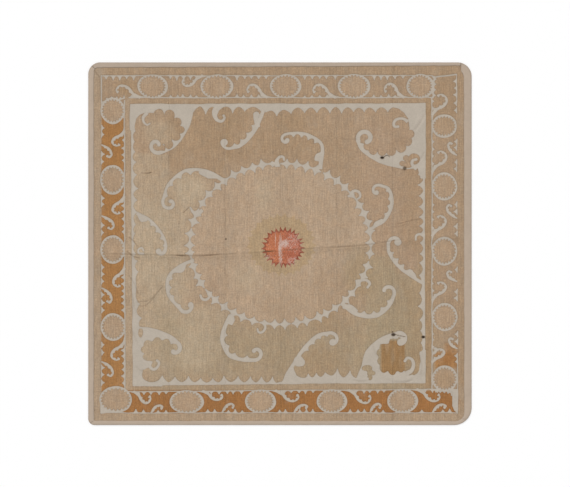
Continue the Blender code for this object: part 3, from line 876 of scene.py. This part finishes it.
# Soft patches: centre, half width, half height, strength
PATCHES = table(
    "dye x y rx ry strength",
    ("pale", -46.5, 27.5, 15, 13, 0.85),
    ("pale", -62, 57, 11, 10, 0.5),
    ("pale", -42, -54, 17, 17, 0.6),
    ("medallion", 0.2, -0.1, 47.5, 42.5, 1),
    ("tan", 27, -22, 20, 17, 0.6),
    ("tan", 2, -34, 22, 9, 0.35),
    ("brown", 20, -60, 17, 12, 0.4),
    ("pink", 65, -9, 9, 10, 0.9),
    ("brown", 70, -62, 10, 14, 0.35),
    ("brown", -78, 80, 9, 7, 0.6),
    ("brown", -24, 66, 12, 9, 0.35),
    ("brown", 8, 63, 14, 6, 0.35),
    ("pink", -95, -1, 4, 9, 0.5),
    ("olive", 41, -14, 12, 18, 0.6),
    ("brown", 41, -15, 12, 18, 0.35),
    ("brown", 24, -39, 12, 10, 0.35),
    ("pale", -37, -38, 17, 11, 0.55),
    ("pale", -57, -24, 11, 11, 0.35),
    ("pale", -16.5, -17, 11, 11, 0.45),
    ("pale", -8, 25, 7, 13, 0.45),
    ("pink", -34, -23, 7, 11, 0.35),
    ("deep_rust", 82, -81, 12, 5, 1),
    ("deep_rust", 86, -58.5, 5.5, 4.5, 0.6),
    ("brown", 84.5, -69.5, 6, 6, 0.45),
    ("brown", 94, -66, 3, 14, 0.4),
    ("brown", 85, 74, 12, 24, 0.35),
    ("pale", 54.8, -53, 1.3, 4.8, 0.22),
    ("brown", 57.6, -57, 1.5, 7, 0.55),
    ("brown", 61.6, -60, 1.2, 6, 0.45),
)

# Marks on the cloth: centre, half width, half height, how dark, from 0 to 1
MARKS = table(
    "x y rx ry dark",
    (52.3, 44, 1.25, 0.85, 1),
    (73.3, -47.7, 1.15, 0.85, 1),
    (57.6, -45.1, 0.5, 0.5, 0.8),
    (58, -46.5, 1.3, 1, 0.95),
    (-9.2, 91.9, 0.3, 0.3, 0.5),
    (-27.6, 2.4, 0.6, 0.55, 0.75),
    (-27.6, -9.8, 0.5, 0.4, 0.3),
    (-51.7, 10.3, 0.45, 0.5, 0.4),
    (-41.9, -36, 0.5, 0.4, 0.3),
    (-29.8, -40.2, 0.4, 0.5, 0.35),
    (21, -61, 0.5, 0.4, 0.45),
    (-20.9, 46.4, 0.5, 0.4, 0.5),
    (33.3, 38.7, 0.4, 0.4, 0.35),
    (-96.8, 87.5, 0.3, 0.3, 0.45),
    (-94.8, -85.3, 0.3, 0.3, 0.45),
    (63.8, 38.5, 1.2, 1.3, 0.7),
)


# Seams drawn as darker lines of painted shade in the join: position, bottom, top, how dark
SEAM_LINES = table(
    "seam y0 y1 dark",
    (1, 2, 32, 0.20),
    (1, -22, -13, 0.16),
    (1, 32, 60, 0.03),
    (0, 30, 50, 0.04),
    (2, -60, 42, -0.03),
)

# How much paler the cloth is right beside a seam, which makes up for the shadow in the join
SEAM_EASE = 0.075

# Patches where the thread has worn away: centre, half width, half height, strength
WORN = table(
    "x y rx ry strength",
    (0.3, -3, 1.7, 10.6, 1),
    (2.4, -0.3, 4.4, 3.4, 1),
    (7.5, 0.5, 7, 9, 0.6),
    (-2.3, 1.5, 0.5, 7.5, 0.8),
    (-5.5, -8.4, 5.5, 4.2, 0.6),
    (6.5, -9, 6, 4, 0.65),
    (0.4, 33.5, 1.6, 8, 0.35),
    (0.2, -50, 0.9, 9, 0.35),
    (-0.4, 42.5, 1.4, 2.4, 0.5),
)


def dye_at(x, y):
    """The cloth's colour at points in centimetres."""
    colour = np.tile(linear("tan"), (len(x), 1))

    def lay(dye, share):
        nonlocal colour
        colour = colour + (linear(dye) - colour) * share[:, None]

    for row in PANELS:
        wobble = row["soft"] * 0.3 * ripple(x, y, 5.0, 5.0, 21)
        sides = (x - row["x0"], row["x1"] - x, y - row["y0"], row["y1"] - y)
        reach = np.min(sides, 0)
        lay(row["dye"], row["strength"] * smooth(-row["soft"], row["soft"], reach + wobble))
    for cx, cy, rx, ry in (place for places in ROUNDELS.values() for place in places):
        lay("roundel", 1 - smooth(0.92, 1.0, np.hypot((x - cx) / rx, (y - cy) / ry)))
    for row in PATCHES:
        d = np.hypot((x - row["x"]) / row["rx"], (y - row["y"]) / row["ry"])
        edge = MEDALLION_EDGE if row["dye"] == "medallion" else PATCH_EDGE
        lay(row["dye"], row["strength"] * (1 - smooth(edge, 1.0, d)))
    return colour


def soil_and_shade_at(x, y):
    """How much each point is darkened by marks, by soil and painted shade in creases and by painted shade
    along seams, up to 1; beside every seam it is painted paler, under 0, against the shadow in the join.
    """
    _, soil = crease_marks(x * CM, y * CM)
    for row in MARKS:
        d = np.hypot((x - row["x"]) / row["rx"], (y - row["y"]) / row["ry"])
        soil = np.maximum(soil, row["dark"] * (1 - smooth(0.5, 1.2, d)))
    # Painted shade along stretches of the seams
    for row in SEAM_LINES:
        near = 1 - smooth(0.0, 0.5, np.abs(x - SEAMS[row["seam"]] / CM))
        within = smooth(-3, 1, np.minimum(y - row["y0"], row["y1"] - y))
        soil = soil + row["dark"] * near * within * (0.7 + 0.3 * ripple(x, y, 3.0, 14.0, 31))
    nearest = np.min([np.abs(x - seam / CM) for seam in SEAMS], 0)
    return np.clip(soil, -0.2, 1) - SEAM_EASE * (1 - smooth(0.0, 0.45, nearest))


def worn_at(x, y):
    """How far the thread has worn away, from 0 to 1."""
    worn = np.zeros(x.shape)
    for row in WORN:
        d = np.hypot((x - row["x"]) / row["rx"], (y - row["y"]) / row["ry"])
        worn = np.maximum(worn, row["strength"] * (1 - smooth(0.35, 1.15, d)))
    return worn * (0.8 + 0.3 * ripple(x, y, 1.1, 2.2, 33))


# ---- meshes ----


def add_piece(name, points, faces, slots, materials, attributes):
    """A mesh with its materials, each face's slot, and values on its points."""
    mesh = bpy.data.meshes.new(name)
    mesh.from_pydata(points, [], faces)
    for material in materials:
        mesh.materials.append(material)
    mesh.polygons.foreach_set("material_index", slots)
    mesh.polygons.foreach_set("use_smooth", np.ones(len(faces), bool))
    for key, values in attributes.items():
        if values.ndim == 2:
            layer = mesh.attributes.new(key, "FLOAT_COLOR", "POINT")
            layer.data.foreach_set("color", np.hstack([values, np.ones((len(values), 1))]).ravel())
        else:
            layer = mesh.attributes.new(key, "FLOAT", "POINT")
            layer.data.foreach_set("value", values)
    mesh.update()
    piece = bpy.data.objects.new(name, mesh)
    bpy.context.scene.collection.objects.link(piece)
    return piece


def strip_nodes(low, high):
    """The face's grid of one strip, as X and Y tables [column][row]."""
    across = COARSE * round((high - low) / STEP / COARSE)
    full = HALF_D - GROUND_INSET
    up = COARSE * round(2 * full / STEP / COARSE)
    x = np.linspace(low, high, across + 1)
    y = np.linspace(-full, full, up + 1)
    pull = smooth(full - 0.20, full, np.abs(y))[None, :]
    top, bottom = ground_reach(x, "top")[:, None], ground_reach(x, "bottom")[:, None]
    rows = np.where(y > 0, y - (full - top) * pull, y + (full + bottom) * pull)
    return np.repeat(x[:, None], up + 1, 1), rows


def cell_cuts():
    """How a cell of the face is cut, by which of its corners are worked.

    Corners are 0 to 3 and the crossings of its sides 4 to 7, anticlockwise; side 4 runs from
    corner 0 to corner 1.
    """
    cuts = {}
    for case in range(1, 15):
        worked = [bool(case >> k & 1) for k in range(4)]
        rim = []
        for k in range(4):
            rim.append((k, worked[k]))
            if worked[k] != worked[(k + 1) % 4]:
                rim.append((4 + k, None))
        crossings = [n for n, (_, side) in enumerate(rim) if side is None]
        if len(crossings) == 4:
            single = [[(3 + k) % 4 + 4, k, k + 4] for k in range(4) if not worked[k]]
            cuts[case] = [(face, 0) for face in single] + [([n for n, side in rim if side is not False], 1)]
            continue
        a, b = crossings
        first, second = rim[a : b + 1], rim[b:] + rim[: a + 1]
        cuts[case] = [([n for n, _ in part], int(part[1][1])) for part in (first, second)]
    return cuts


def worked_skin(name, low, high, outlines, materials):
    """One loom strip: its face cut along the embroidery, its sides and its underside."""
    x, y = strip_nodes(low, high)
    columns, rows = x.shape
    depth = stitch_depth(x.ravel() / CM, y.ravel() / CM, outlines).reshape(x.shape)
    depth = np.where(np.abs(depth) < 0.02, np.where(depth < 0, -0.02, 0.02), depth)
    node = np.arange(columns * rows).reshape(columns, rows)
    worked = depth > 0

    def crossings(a, b):
        """Points where the outline crosses the grid's sides from one table of nodes to the next."""
        cut = worked[a] != worked[b]
        t = (depth[a] / (depth[a] - depth[b]))[cut]
        return cut, x[a][cut] + (x[b] - x[a])[cut] * t, y[a][cut] + (y[b] - y[a])[cut] * t

    along_x, cx, cy = crossings((slice(None, -1), slice(None)), (slice(1, None), slice(None)))
    along_y, dx, dy = crossings((slice(None), slice(None, -1)), (slice(None), slice(1, None)))
    side_x, side_y = np.full(along_x.shape, -1), np.full(along_y.shape, -1)
    side_x[along_x] = node.size + np.arange(len(cx))
    side_y[along_y] = node.size + len(cx) + np.arange(len(dx))
    px, py = np.concatenate([x.ravel(), cx, dx]), np.concatenate([y.ravel(), cy, dy])
    pd = np.concatenate([depth.ravel(), np.zeros(len(cx) + len(dx))])
    under = lift(px, py)
    pz = under + face_height(px, py, pd)

    corner = [node[:-1, :-1], node[1:, :-1], node[1:, 1:], node[:-1, 1:]]
    rim = corner + [side_x[:, :-1], side_y[1:, :], side_x[:, 1:], side_y[:-1, :]]
    case = sum(worked.ravel()[c].astype(int) << k for k, c in enumerate(corner))
    faces, slots = [], []
    for value, cuts in {0: [([0, 1, 2, 3], 0)], 15: [([0, 1, 2, 3], 1)], **cell_cuts()}.items():
        here = case == value
        for cut, slot in cuts:
            made = np.stack([rim[k][here] for k in cut], 1).tolist()
            faces += made
            slots += [slot] * len(made)

    # Underside: every few nodes of the face, on the solids' own underside
    cn, rn = node[::COARSE, ::COARSE].shape
    base = len(px)
    below = base + np.arange(cn * rn).reshape(cn, rn)
    bx, by = x[::COARSE, ::COARSE].ravel(), y[::COARSE, ::COARSE].ravel()
    made = np.stack([below[:-1, :-1], below[:-1, 1:], below[1:, 1:], below[1:, :-1]], -1)
    made = made.reshape(-1, 4).tolist()
    faces += made
    slots += [0] * len(made)

    # Sides: each follows the face's edge and any crossings on it
    def wall(edge, between, low_edge, flip):
        for k in range(len(low_edge) - 1):
            run = []
            for n in range(k * COARSE, (k + 1) * COARSE):
                run.append(edge[n])
                if between[n] >= 0:
                    run.append(between[n])
            run.append(edge[(k + 1) * COARSE])
            face = [low_edge[k], low_edge[k + 1], *run[::-1]]
            faces.append(face[::-1] if flip else face)
            slots.append(0)

    wall(node[:, 0].tolist(), side_x[:, 0].tolist(), below[:, 0].tolist(), False)
    wall(node[:, -1].tolist(), side_x[:, -1].tolist(), below[:, -1].tolist(), True)
    wall(node[0, :].tolist(), side_y[0, :].tolist(), below[0, :].tolist(), True)
    wall(node[-1, :].tolist(), side_y[-1, :].tolist(), below[-1, :].tolist(), False)

    px, py = np.concatenate([px, bx]), np.concatenate([py, by])
    pz = np.concatenate([pz, lift(bx, by)])
    pd = np.concatenate([pd, depth[::COARSE, ::COARSE].ravel()])
    x, y = px / CM, py / CM
    attributes = {"dye": dye_at(x, y), "soil": soil_and_shade_at(x, y), "stitch": pd, "worn": worn_at(x, y)}
    for key, row in (("sun", SUN), ("halo", HALO)):
        inside = np.full(len(x), FAR_OUTSIDE)
        near = np.hypot(x - row["x"], y - row["y"]) < row["rx"] + 3
        if near.any():
            inside[near] = -outline_distance(x[near], y[near], rays(row))
        attributes[key] = inside
    return add_piece(name, np.stack([px, py, pz], 1).tolist(), faces, slots, materials, attributes)


# How far inside the sun and its disc a point counts that is nowhere near them, in centimetres
FAR_OUTSIDE = -5.0


def rays(row):
    """An uneven disc of pointed rays, for a change of thread colour."""
    chance = np.random.default_rng(9)
    angles = np.linspace(0, 2 * math.pi, row["rays"], endpoint=False) + chance.normal(0, 0.03, row["rays"])
    steps = np.linspace(0, 1, 8, endpoint=False)
    out = []
    for a, b in zip(angles, [*angles[1:], angles[0] + 2 * math.pi]):
        tall = row["depth"] * (0.8 + 0.4 * chance.random())
        for u in steps:
            angle = a + (b - a) * u
            reach = 1 - (tall * (1 - cusp(u))) / row["rx"]
            x = row["x"] + row["rx"] * reach * math.cos(angle)
            out.append((x, row["y"] + row["ry"] * reach * math.sin(angle)))
    return np.array(out)


# ---- bindings ----


def ring_centre(corner, ring):
    inset_x, inset_y, radius = CORNERS[corner][ring]
    sign_x = 1 if corner.endswith("right") else -1
    sign_y = 1 if corner.startswith("top") else -1
    return sign_x * (HALF_W - inset_x - radius), sign_y * (HALF_D - inset_y - radius)


# Steps round a corner, and the length of a step along a straight side
ARC_STEPS = 18
RUN_STEP = 0.007

# How far the painted shade in a joint reaches along the strip
JOINT_SHADE = 0.006


def arc(corner, ring, start, end):
    cx, cy = ring_centre(corner, ring)
    radius = CORNERS[corner][ring][2]
    a = np.radians(np.linspace(start, end, ARC_STEPS + 1))
    return np.stack([cx + radius * np.cos(a), cy + radius * np.sin(a)], 1)


def turn(corner, start, end):
    return {ring: arc(corner, ring, start, end) for ring in RINGS}


def butt_angle(ring):
    across = BUTT_X - ring_centre("top_right", ring)[0]
    return math.degrees(math.acos(across / CORNERS["top_right"][ring][2]))


def side_rings(first, last):
    """The three rings of a strip from joint to joint, with matching points and eased ends."""
    count = round(float(np.hypot(*(first["edge"][-1] - last["edge"][0]))) / RUN_STEP)
    rings = {}
    for ring in RINGS:
        straight = np.linspace(first[ring][-1], last[ring][0], count + 1)[1:-1]
        rings[ring] = np.vstack([first[ring], straight, last[ring]])
    for end, inner in ((0, 1), (-1, -2)):
        edge, upper = rings["edge"][end].copy(), rings["upper"][end].copy()
        across = (upper - edge) / np.hypot(*(upper - edge))
        along = np.array([across[1], -across[0]])
        back = math.copysign(JOINT_EASE, float(np.dot(rings["edge"][inner] - edge, along)))
        for ring in RINGS:
            rings[ring][end] = rings[ring][end] + along * back
    return rings


def bound_edge(name, first, last, joints, tone, materials):
    """One folded binding strip, softly swollen between its fold and its stitched inner edge.

    joints: how dark the painted shade at its two ends is. tone: how much darker all of it is, or paler under
    0.
    """
    rings = side_rings(first, last)
    edge, upper, lower = (rings[ring] for ring in RINGS)
    count = len(edge)
    along = np.concatenate([[0], np.cumsum(np.hypot(*np.diff(edge, axis=0).T))])
    across = upper - edge
    width = np.hypot(*across.T)[:, None]
    across = across / width
    calm = smooth(0, 0.03, along) * smooth(0, 0.03, along[-1] - along)
    sway = 0.0009 * ripple(along, along * 0 + len(name), 0.045, 1.0, 41) * calm
    upper = upper + across * (sway + 0.0006 * ripple(along, along * 0, 0.012, 1.0, 42) * calm)[:, None]
    swell = 0.0011 + 0.0007 * ripple(along, along * 0 + 3.3, 0.035, 1.0, 43)
    shade = tone + np.zeros(count)
    # Painted shade in the joints at the strip's two ends
    for dark, end in zip(joints, (0, along[-1])):
        shade = shade + dark * (1 - smooth(0, JOINT_SHADE, np.abs(along - end)))
    points, acrosses = [], []
    lower_shares, upper_shares = np.linspace(0, 1, 3), np.linspace(0, 1, 10)
    fold_steps = np.linspace(-0.5, 0.5, 9)[1:-1] * math.pi
    for depth in (0.0, BINDING):
        section = []
        radius = FOLD_RADIUS - depth
        for t in lower_shares:
            inward = lower + (edge + across * FOLD_RADIUS - lower) * t
            section.append((inward, np.full(count, depth), -1 + 0.8 * t))
        for angle in fold_steps:
            place = edge + across * (FOLD_RADIUS - radius * math.cos(angle))
            z = np.full(count, FOLD_RADIUS + radius * math.sin(angle))
            section.append((place, z, -0.1 + 0.05 * angle))
        for t in upper_shares:
            start = edge + across * FOLD_RADIUS
            place = start + (upper - start) * t
            z = BINDING_STACK - depth + np.zeros(count)
            if 0 < t < 1:
                wave = 0.00045 * ripple(along, along * 0 + t * 4, 0.020, 1.0, 44)
                wave = wave * math.sin(math.pi * min(1, t * 1.05)) ** 0.5
                z = z + swell * math.sin(math.pi * t) ** 0.7 + np.maximum(wave, -0.0004)
            section.append((place, z, t))
        for place, z, share in section:
            points.append(np.column_stack([place, z]))
            acrosses.append(np.full(count, max(0.0, share)))
    loops = len(points) // 2
    total = np.vstack(points)
    index = np.arange(len(total)).reshape(2 * loops, count)
    order = list(range(loops)) + list(range(2 * loops - 1, loops - 1, -1))
    faces = []
    for a, b in zip(order, order[1:] + order[:1]):
        faces += np.stack([index[a, :-1], index[a, 1:], index[b, 1:], index[b, :-1]], 1).tolist()
    for end, flip in ((0, True), (count - 1, False)):
        for k in range(loops - 1):
            quad = [index[k, end], index[k + 1, end], index[loops + k + 1, end], index[loops + k, end]]
            faces.append([int(v) for v in (quad if flip else quad[::-1])])
    values = {"across": np.concatenate(acrosses), "shade": np.tile(shade, len(points))}
    return add_piece(f"folded_{name}", total.tolist(), faces, [0] * len(faces), materials, values)


# ---- materials ----


# Linear colours of light soil and painted shade, and of the darkest marks and creases
SOIL_AND_SHADE_BROWN = (0.125, 0.078, 0.040)
SOIL_AND_SHADE_BLACK = (0.022, 0.014, 0.010)


class Nodes:
    """A new material's node tree, with short ways to add and link nodes."""

    def __init__(self, name):
        self.material = bpy.data.materials.new(name)
        self.material.use_nodes = True
        self.tree = self.material.node_tree
        self.shader = self.tree.nodes["Principled BSDF"]
        self.coords = self.tree.nodes.new("ShaderNodeTexCoord").outputs["Object"]

    def link(self, value, socket):
        if isinstance(value, bpy.types.NodeSocket):
            self.tree.links.new(value, socket)
        else:
            socket.default_value = value

    def add(self, kind, inputs, output=0, **settings):
        node = self.tree.nodes.new(f"ShaderNode{kind}")
        for key, value in settings.items():
            setattr(node, key, value)
        for key, value in inputs.items():
            self.link(value, node.inputs[key])
        return node.outputs[output]

    def attribute(self, name, output="Fac"):
        return self.add("Attribute", {}, output, attribute_name=name)

    def stretched(self, x, y):
        return self.add("Mapping", {"Vector": self.coords, "Scale": (x, y, 1.0)})

    def noise(self, x, y, detail=2.0, roughness=0.5):
        inputs = {"Vector": self.stretched(x, y), "Scale": 1.0, "Detail": detail, "Roughness": roughness}
        return self.add("TexNoise", inputs, "Fac")

    def span(self, value, low, high, to_low, to_high, smooth_ends=False):
        inputs = {"Value": value, "From Min": low, "From Max": high, "To Min": to_low, "To Max": to_high}
        kind = "SMOOTHSTEP" if smooth_ends else "LINEAR"
        return self.add("MapRange", inputs, interpolation_type=kind)

    def math(self, operation, a, b=0.0):
        node = self.tree.nodes.new("ShaderNodeMath")
        node.operation = operation
        self.link(a, node.inputs[0])
        self.link(b, node.inputs[1])
        return node.outputs[0]

    def times(self, first, *others):
        for other in others:
            first = self.math("MULTIPLY", first, other)
        return first

    def mix(self, share, a, b, blend="MIX"):
        """Two colours mixed. Each is a socket, the name of a dye, or a linear colour."""
        node = self.tree.nodes.new("ShaderNodeMix")
        node.data_type = "RGBA"
        node.blend_type = blend
        self.link(share, node.inputs["Factor"])
        for value, socket in ((a, node.inputs[6]), (b, node.inputs[7])):
            if isinstance(value, str):
                value = tuple(linear(value))
            self.link(value if isinstance(value, bpy.types.NodeSocket) else (*value, 1.0), socket)
        return node.outputs[2]

    def plain(self, dye):
        return self.mix(0.0, dye, (0, 0, 0))

    def scaled(self, colour, factor):
        """A colour made lighter or darker by a factor."""
        node = self.tree.nodes.new("ShaderNodeVectorMath")
        node.operation = "SCALE"
        self.link(colour, node.inputs[0])
        self.link(factor, node.inputs["Scale"])
        return node.outputs[0]

    def soiled_and_shaded(self, colour, soil):
        """A colour gone paler for values under 0, painted light beside the seams, and toward a dark brown
        above 0, for soil and painted shade.
        """
        paler = self.math("SUBTRACT", 1.0, self.math("MINIMUM", soil, 0.0))
        colour = self.scaled(colour, paler)
        colour = self.mix(self.span(soil, 0.0, 0.7, 0.0, 0.75), colour, SOIL_AND_SHADE_BROWN)
        return self.mix(self.span(soil, 0.5, 1.0, 0.0, 0.97), colour, SOIL_AND_SHADE_BLACK)

    def waves(self, x, y, direction, distortion):
        inputs = {"Vector": self.stretched(x, y), "Scale": 1.0, "Distortion": distortion, "Detail": 1.0}
        return self.add("TexWave", inputs, "Fac", bands_direction=direction)

    def bump(self, height, distance, strength=1.0, normal=None):
        inputs = {"Height": height, "Distance": distance, "Strength": strength}
        if normal is not None:
            inputs["Normal"] = normal
        return self.add("Bump", inputs)

    def finish(self, colour, normal, roughness):
        self.link(colour, self.shader.inputs["Base Color"])
        self.link(normal, self.shader.inputs["Normal"])
        self.shader.inputs["Roughness"].default_value = roughness
        self.shader.inputs["Specular IOR Level"].default_value = 0.2
        return self.material


def threads(per_metre):
    """Scale of a wave texture with this many bands a metre."""
    return per_metre * 2 * math.pi / 20


# Couching stitches that tie down the laid threads, as the joints of a bond, in metres
TIES = {"Brick Width": 0.008, "Row Height": 0.0048, "Mortar Size": 0.0005, "Mortar Smooth": 0.6}

# Makes up for the shadow between the stitches
STITCH_SHADE = 1.11


def embroidery():
    """Laid threads couched down the length of each strip, in faded reds, with wear and a darker rim at its
    outlines.
    """
    n = Nodes("embroidered_cotton")
    dye = n.attribute("dye", "Color")
    stitch = n.attribute("stitch")
    soil = n.attribute("soil")
    thin = n.attribute("worn")
    streaks = n.span(n.noise(190, 12, 3.0, 0.6), 0.25, 0.75, 0.82, 1.18)
    bands = n.span(n.noise(45, 3, 2.0), 0.3, 0.7, 0.97, 1.03)
    mottle = n.span(n.noise(22, 22, 4.0, 0.65), 0.3, 0.7, 0.94, 1.06)
    fine = n.span(n.noise(150, 110, 2.0), 0.3, 0.7, 0.87, 1.13)
    cross = n.span(n.noise(40, 190, 2.0), 0.3, 0.7, 0.93, 1.07)
    tone = n.times(streaks, bands, mottle, fine, cross, STITCH_SHADE)
    hue = n.span(n.noise(34, 26, 4.0, 0.7), 0.3, 0.7, 0.0, 1.0)
    hue = n.mix(hue, (1.03, 0.995, 0.96), (0.97, 1.005, 1.045))
    colour = n.mix(1.0, n.scaled(dye, tone), hue, "MULTIPLY")
    faded = n.span(n.noise(9, 5, 4.0, 0.7), 0.55, 0.75, 0.0, 0.22)
    colour = n.mix(faded, colour, "cream")
    halo = n.span(n.attribute("halo"), -0.15, 0.15, 0.0, 0.8, True)
    olive = n.mix(1.0, n.scaled(n.plain("halo"), tone), hue, "MULTIPLY")
    colour = n.mix(halo, colour, olive)
    rubbed = n.math("SUBTRACT", 0.80, n.math("MULTIPLY", thin, 0.42))
    rubbed = n.span(n.math("SUBTRACT", n.noise(240, 120, 3.0, 0.7), rubbed), 0.0, 0.07, 0.0, 0.85)
    colour = n.mix(rubbed, colour, "rubbed")
    sun = n.span(n.attribute("sun"), -0.10, 0.10, 0.0, 1.0, True)
    edge = n.span(n.attribute("sun"), 0.2, 1.1, 0.85, 0.0, True)
    side = n.span(n.add("SeparateXYZ", {"Vector": n.coords}, "X"), -0.02, 0.06, 0.0, 1.0, True)
    reds = n.mix(side, "sun_left", "sun_right")
    reds = n.mix(n.noise(160, 22, 3.0, 0.6), reds, "sun_thread")
    reds = n.mix(edge, reds, "sun_edge")
    reds = n.scaled(reds, n.span(n.noise(170, 90, 3.0, 0.7), 0.3, 0.7, 0.62, 1.42))
    speck = n.math("SUBTRACT", 0.645, n.math("MULTIPLY", n.math("MAXIMUM", thin, 0.24), 0.33))
    speck = n.span(n.math("SUBTRACT", n.noise(200, 110, 4.0, 0.8), speck), 0.0, 0.16, 0.0, 0.95)
    reds = n.mix(speck, reds, "sun_worn")
    colour = n.mix(sun, colour, reds)
    # Darker towards the outlines of the worked areas
    rim = n.span(stitch, 0.0, 0.55, 0.84, 1.0, True)
    colour = n.scaled(colour, rim)
    colour = n.soiled_and_shaded(colour, soil)
    laid = n.waves(threads(420), 2.0, "X", 1.2)
    upright = n.add("Mapping", {"Vector": n.coords, "Rotation": (0, 0, math.pi / 2)})
    ties = n.add("TexBrick", {"Vector": upright, "Scale": 1.0, **TIES}, "Fac", offset=0.5)
    normal = n.bump(laid, 0.0005, 0.7)
    normal = n.bump(n.math("SUBTRACT", 1.0, ties), 0.0006, 0.5, normal)
    normal = n.bump(n.noise(350, 120, 2.0), 0.0006, 0.5, normal)
    colour = n.scaled(colour, n.span(ties, 0.0, 1.0, 1.0, 0.90))
    return n.finish(colour, normal, 0.92)


def ground_cotton():
    """Bare plain-woven cotton, slubby, with a shaded rim beside the stitches."""
    n = Nodes("cream_cotton")
    mottle = n.span(n.noise(16, 16, 5.0, 0.65), 0.3, 0.7, 0.94, 1.06)
    slubs = n.span(n.noise(120, 170, 2.0), 0.3, 0.7, 0.95, 1.05)
    colour = n.scaled(n.plain("cream"), n.times(mottle, slubs))
    rim = n.span(n.attribute("stitch"), -0.5, 0.0, 1.0, 0.90, True)
    colour = n.scaled(colour, rim)
    colour = n.soiled_and_shaded(colour, n.attribute("soil"))
    weave = n.math("ADD", n.waves(threads(700), 1.0, "X", 0.6), n.waves(1.0, threads(700), "Y", 0.6))
    normal = n.bump(weave, 0.0003, 0.5)
    normal = n.bump(n.noise(60, 60, 3.0), 0.0012, 0.4, normal)
    return n.finish(colour, normal, 0.95)


def binding_cotton():
    """Plain-woven cotton, with painted shade at its fold, along its stitched edge and in its joints."""
    n = Nodes("binding_cotton")
    across, shade = n.attribute("across"), n.attribute("shade")
    mottle = n.span(n.noise(12, 12, 5.0, 0.7), 0.3, 0.7, 0.96, 1.04)
    lines = n.span(n.noise(60, 60, 4.0, 0.7), 0.3, 0.7, 0.96, 1.03)
    colour = n.scaled(n.plain("binding"), n.times(mottle, lines))
    # Painted shade on the rolled fold and along the stitched inner edge
    fold = n.span(across, 0.0, 0.22, 0.88, 1.0, True)
    seam = n.span(across, 0.88, 1.0, 1.0, 0.80, True)
    colour = n.scaled(colour, n.times(fold, seam))
    # Darker by the strip's tone and by the painted shade in its joints
    colour = n.scaled(colour, n.math("SUBTRACT", 1.0, n.times(shade, 0.7)))
    weave = n.math("ADD", n.waves(threads(800), 1.0, "X", 0.6), n.waves(1.0, threads(800), "Y", 0.6))
    normal = n.bump(weave, 0.0003, 0.45)
    normal = n.bump(n.noise(45, 45, 3.0), 0.0015, 0.4, normal)
    return n.finish(colour, normal, 0.93)


# ---- scene ----

# The camera's sensor and lens in millimetres, the width that it frames and the level that it frames it at
SENSOR = 36
LENS = 100
FRAME_WIDTH = 2.914
FACE_LEVEL = 0.004


def declare(piece, node):
    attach(piece, "root")
    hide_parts(node)


def build_cover():
    outlines = design()
    worked, plain = embroidery(), ground_cotton()
    left_edge, right_edge = -HALF_W + GROUND_INSET, HALF_W - GROUND_INSET
    starts = (left_edge, *(seam + GAP / 2 for seam in SEAMS))
    ends = (*(seam - GAP / 2 for seam in SEAMS), right_edge)
    for index, (low, high) in enumerate(zip(starts, ends), 1):
        piece = worked_skin(f"worked_strip_{index}", low, high, outlines, [plain, worked])
        declare(piece, f"ground_strip_{index}")
    bound = [binding_cotton()]
    to_butt = {ring: arc("top_right", ring, 0, butt_angle(ring)) for ring in RINGS}
    from_butt = {ring: arc("top_right", ring, butt_angle(ring), 90) for ring in RINGS}
    face_end = HALF_D - TOP_FACE_AT_BUTT
    from_butt["upper"] = np.linspace((BUTT_X, face_end), (from_butt["edge"][-1][0], face_end), ARC_STEPS + 1)
    strips = (
        ("left", turn("top_left", 135, 180), turn("bottom_left", 180, 225), (0.5, 0.3), -0.045),
        ("bottom", turn("bottom_left", 225, 270), turn("bottom_right", 270, 315), (0.3, 0), -0.04),
        ("right", turn("bottom_right", 315, 360), to_butt, (0, 0.4), -0.01),
        ("top", from_butt, turn("top_left", 90, 135), (0.5, 0.5), 0.02),
    )
    for name, first, last, joints, tone in strips:
        piece = bound_edge(name, first, last, joints, tone, bound)
        declare(piece, f"binding_{name}")


def build_stage():
    """A pale floor, a soft light from the upper left and an even sky."""
    mesh = bpy.data.meshes.new("floor")
    steps = np.linspace(-7, 7, 9)
    points = [(x, y, 0.0) for x in steps for y in steps]
    index = np.arange(81).reshape(9, 9)
    cells = [index[:-1, :-1], index[1:, :-1], index[1:, 1:], index[:-1, 1:]]
    mesh.from_pydata(points, [], np.stack(cells, -1).reshape(-1, 4).tolist())
    material = bpy.data.materials.new("pale_floor")
    material.use_nodes = True
    shader = material.node_tree.nodes["Principled BSDF"]
    shader.inputs["Base Color"].default_value = (0.92, 0.92, 0.92, 1)
    shader.inputs["Roughness"].default_value = 0.95
    shader.inputs["Specular IOR Level"].default_value = 0.1
    mesh.materials.append(material)
    floor = bpy.data.objects.new("floor", mesh)
    bpy.context.scene.collection.objects.link(floor)
    key = bpy.data.lights.new("key", "SUN")
    key.angle, key.energy = math.radians(35), 1.5
    lamp = bpy.data.objects.new("key", key)
    lamp.location = (-3.0, 3.2, 4.2)
    lamp.rotation_euler = (math.radians(-37), math.radians(-28), 0)
    bpy.context.scene.collection.objects.link(lamp)
    world = bpy.data.worlds.new("studio")
    world.use_nodes = True
    background = world.node_tree.nodes["Background"]
    background.inputs["Color"].default_value = (1, 1, 1, 1)
    background.inputs["Strength"].default_value = 0.75
    bpy.context.scene.world = world


def build_camera():
    """Straight above the cover, as the photograph is framed."""
    data = bpy.data.cameras.new("camera")
    data.sensor_width, data.lens = SENSOR, LENS
    camera = bpy.data.objects.new("camera", data)
    camera.location = (0.026, 0.001, FRAME_WIDTH * LENS / SENSOR + FACE_LEVEL)
    bpy.context.scene.collection.objects.link(camera)
    bpy.context.scene.camera = camera
    bpy.context.scene.view_settings.view_transform = "Standard"


build_cover()
build_stage()
build_camera()
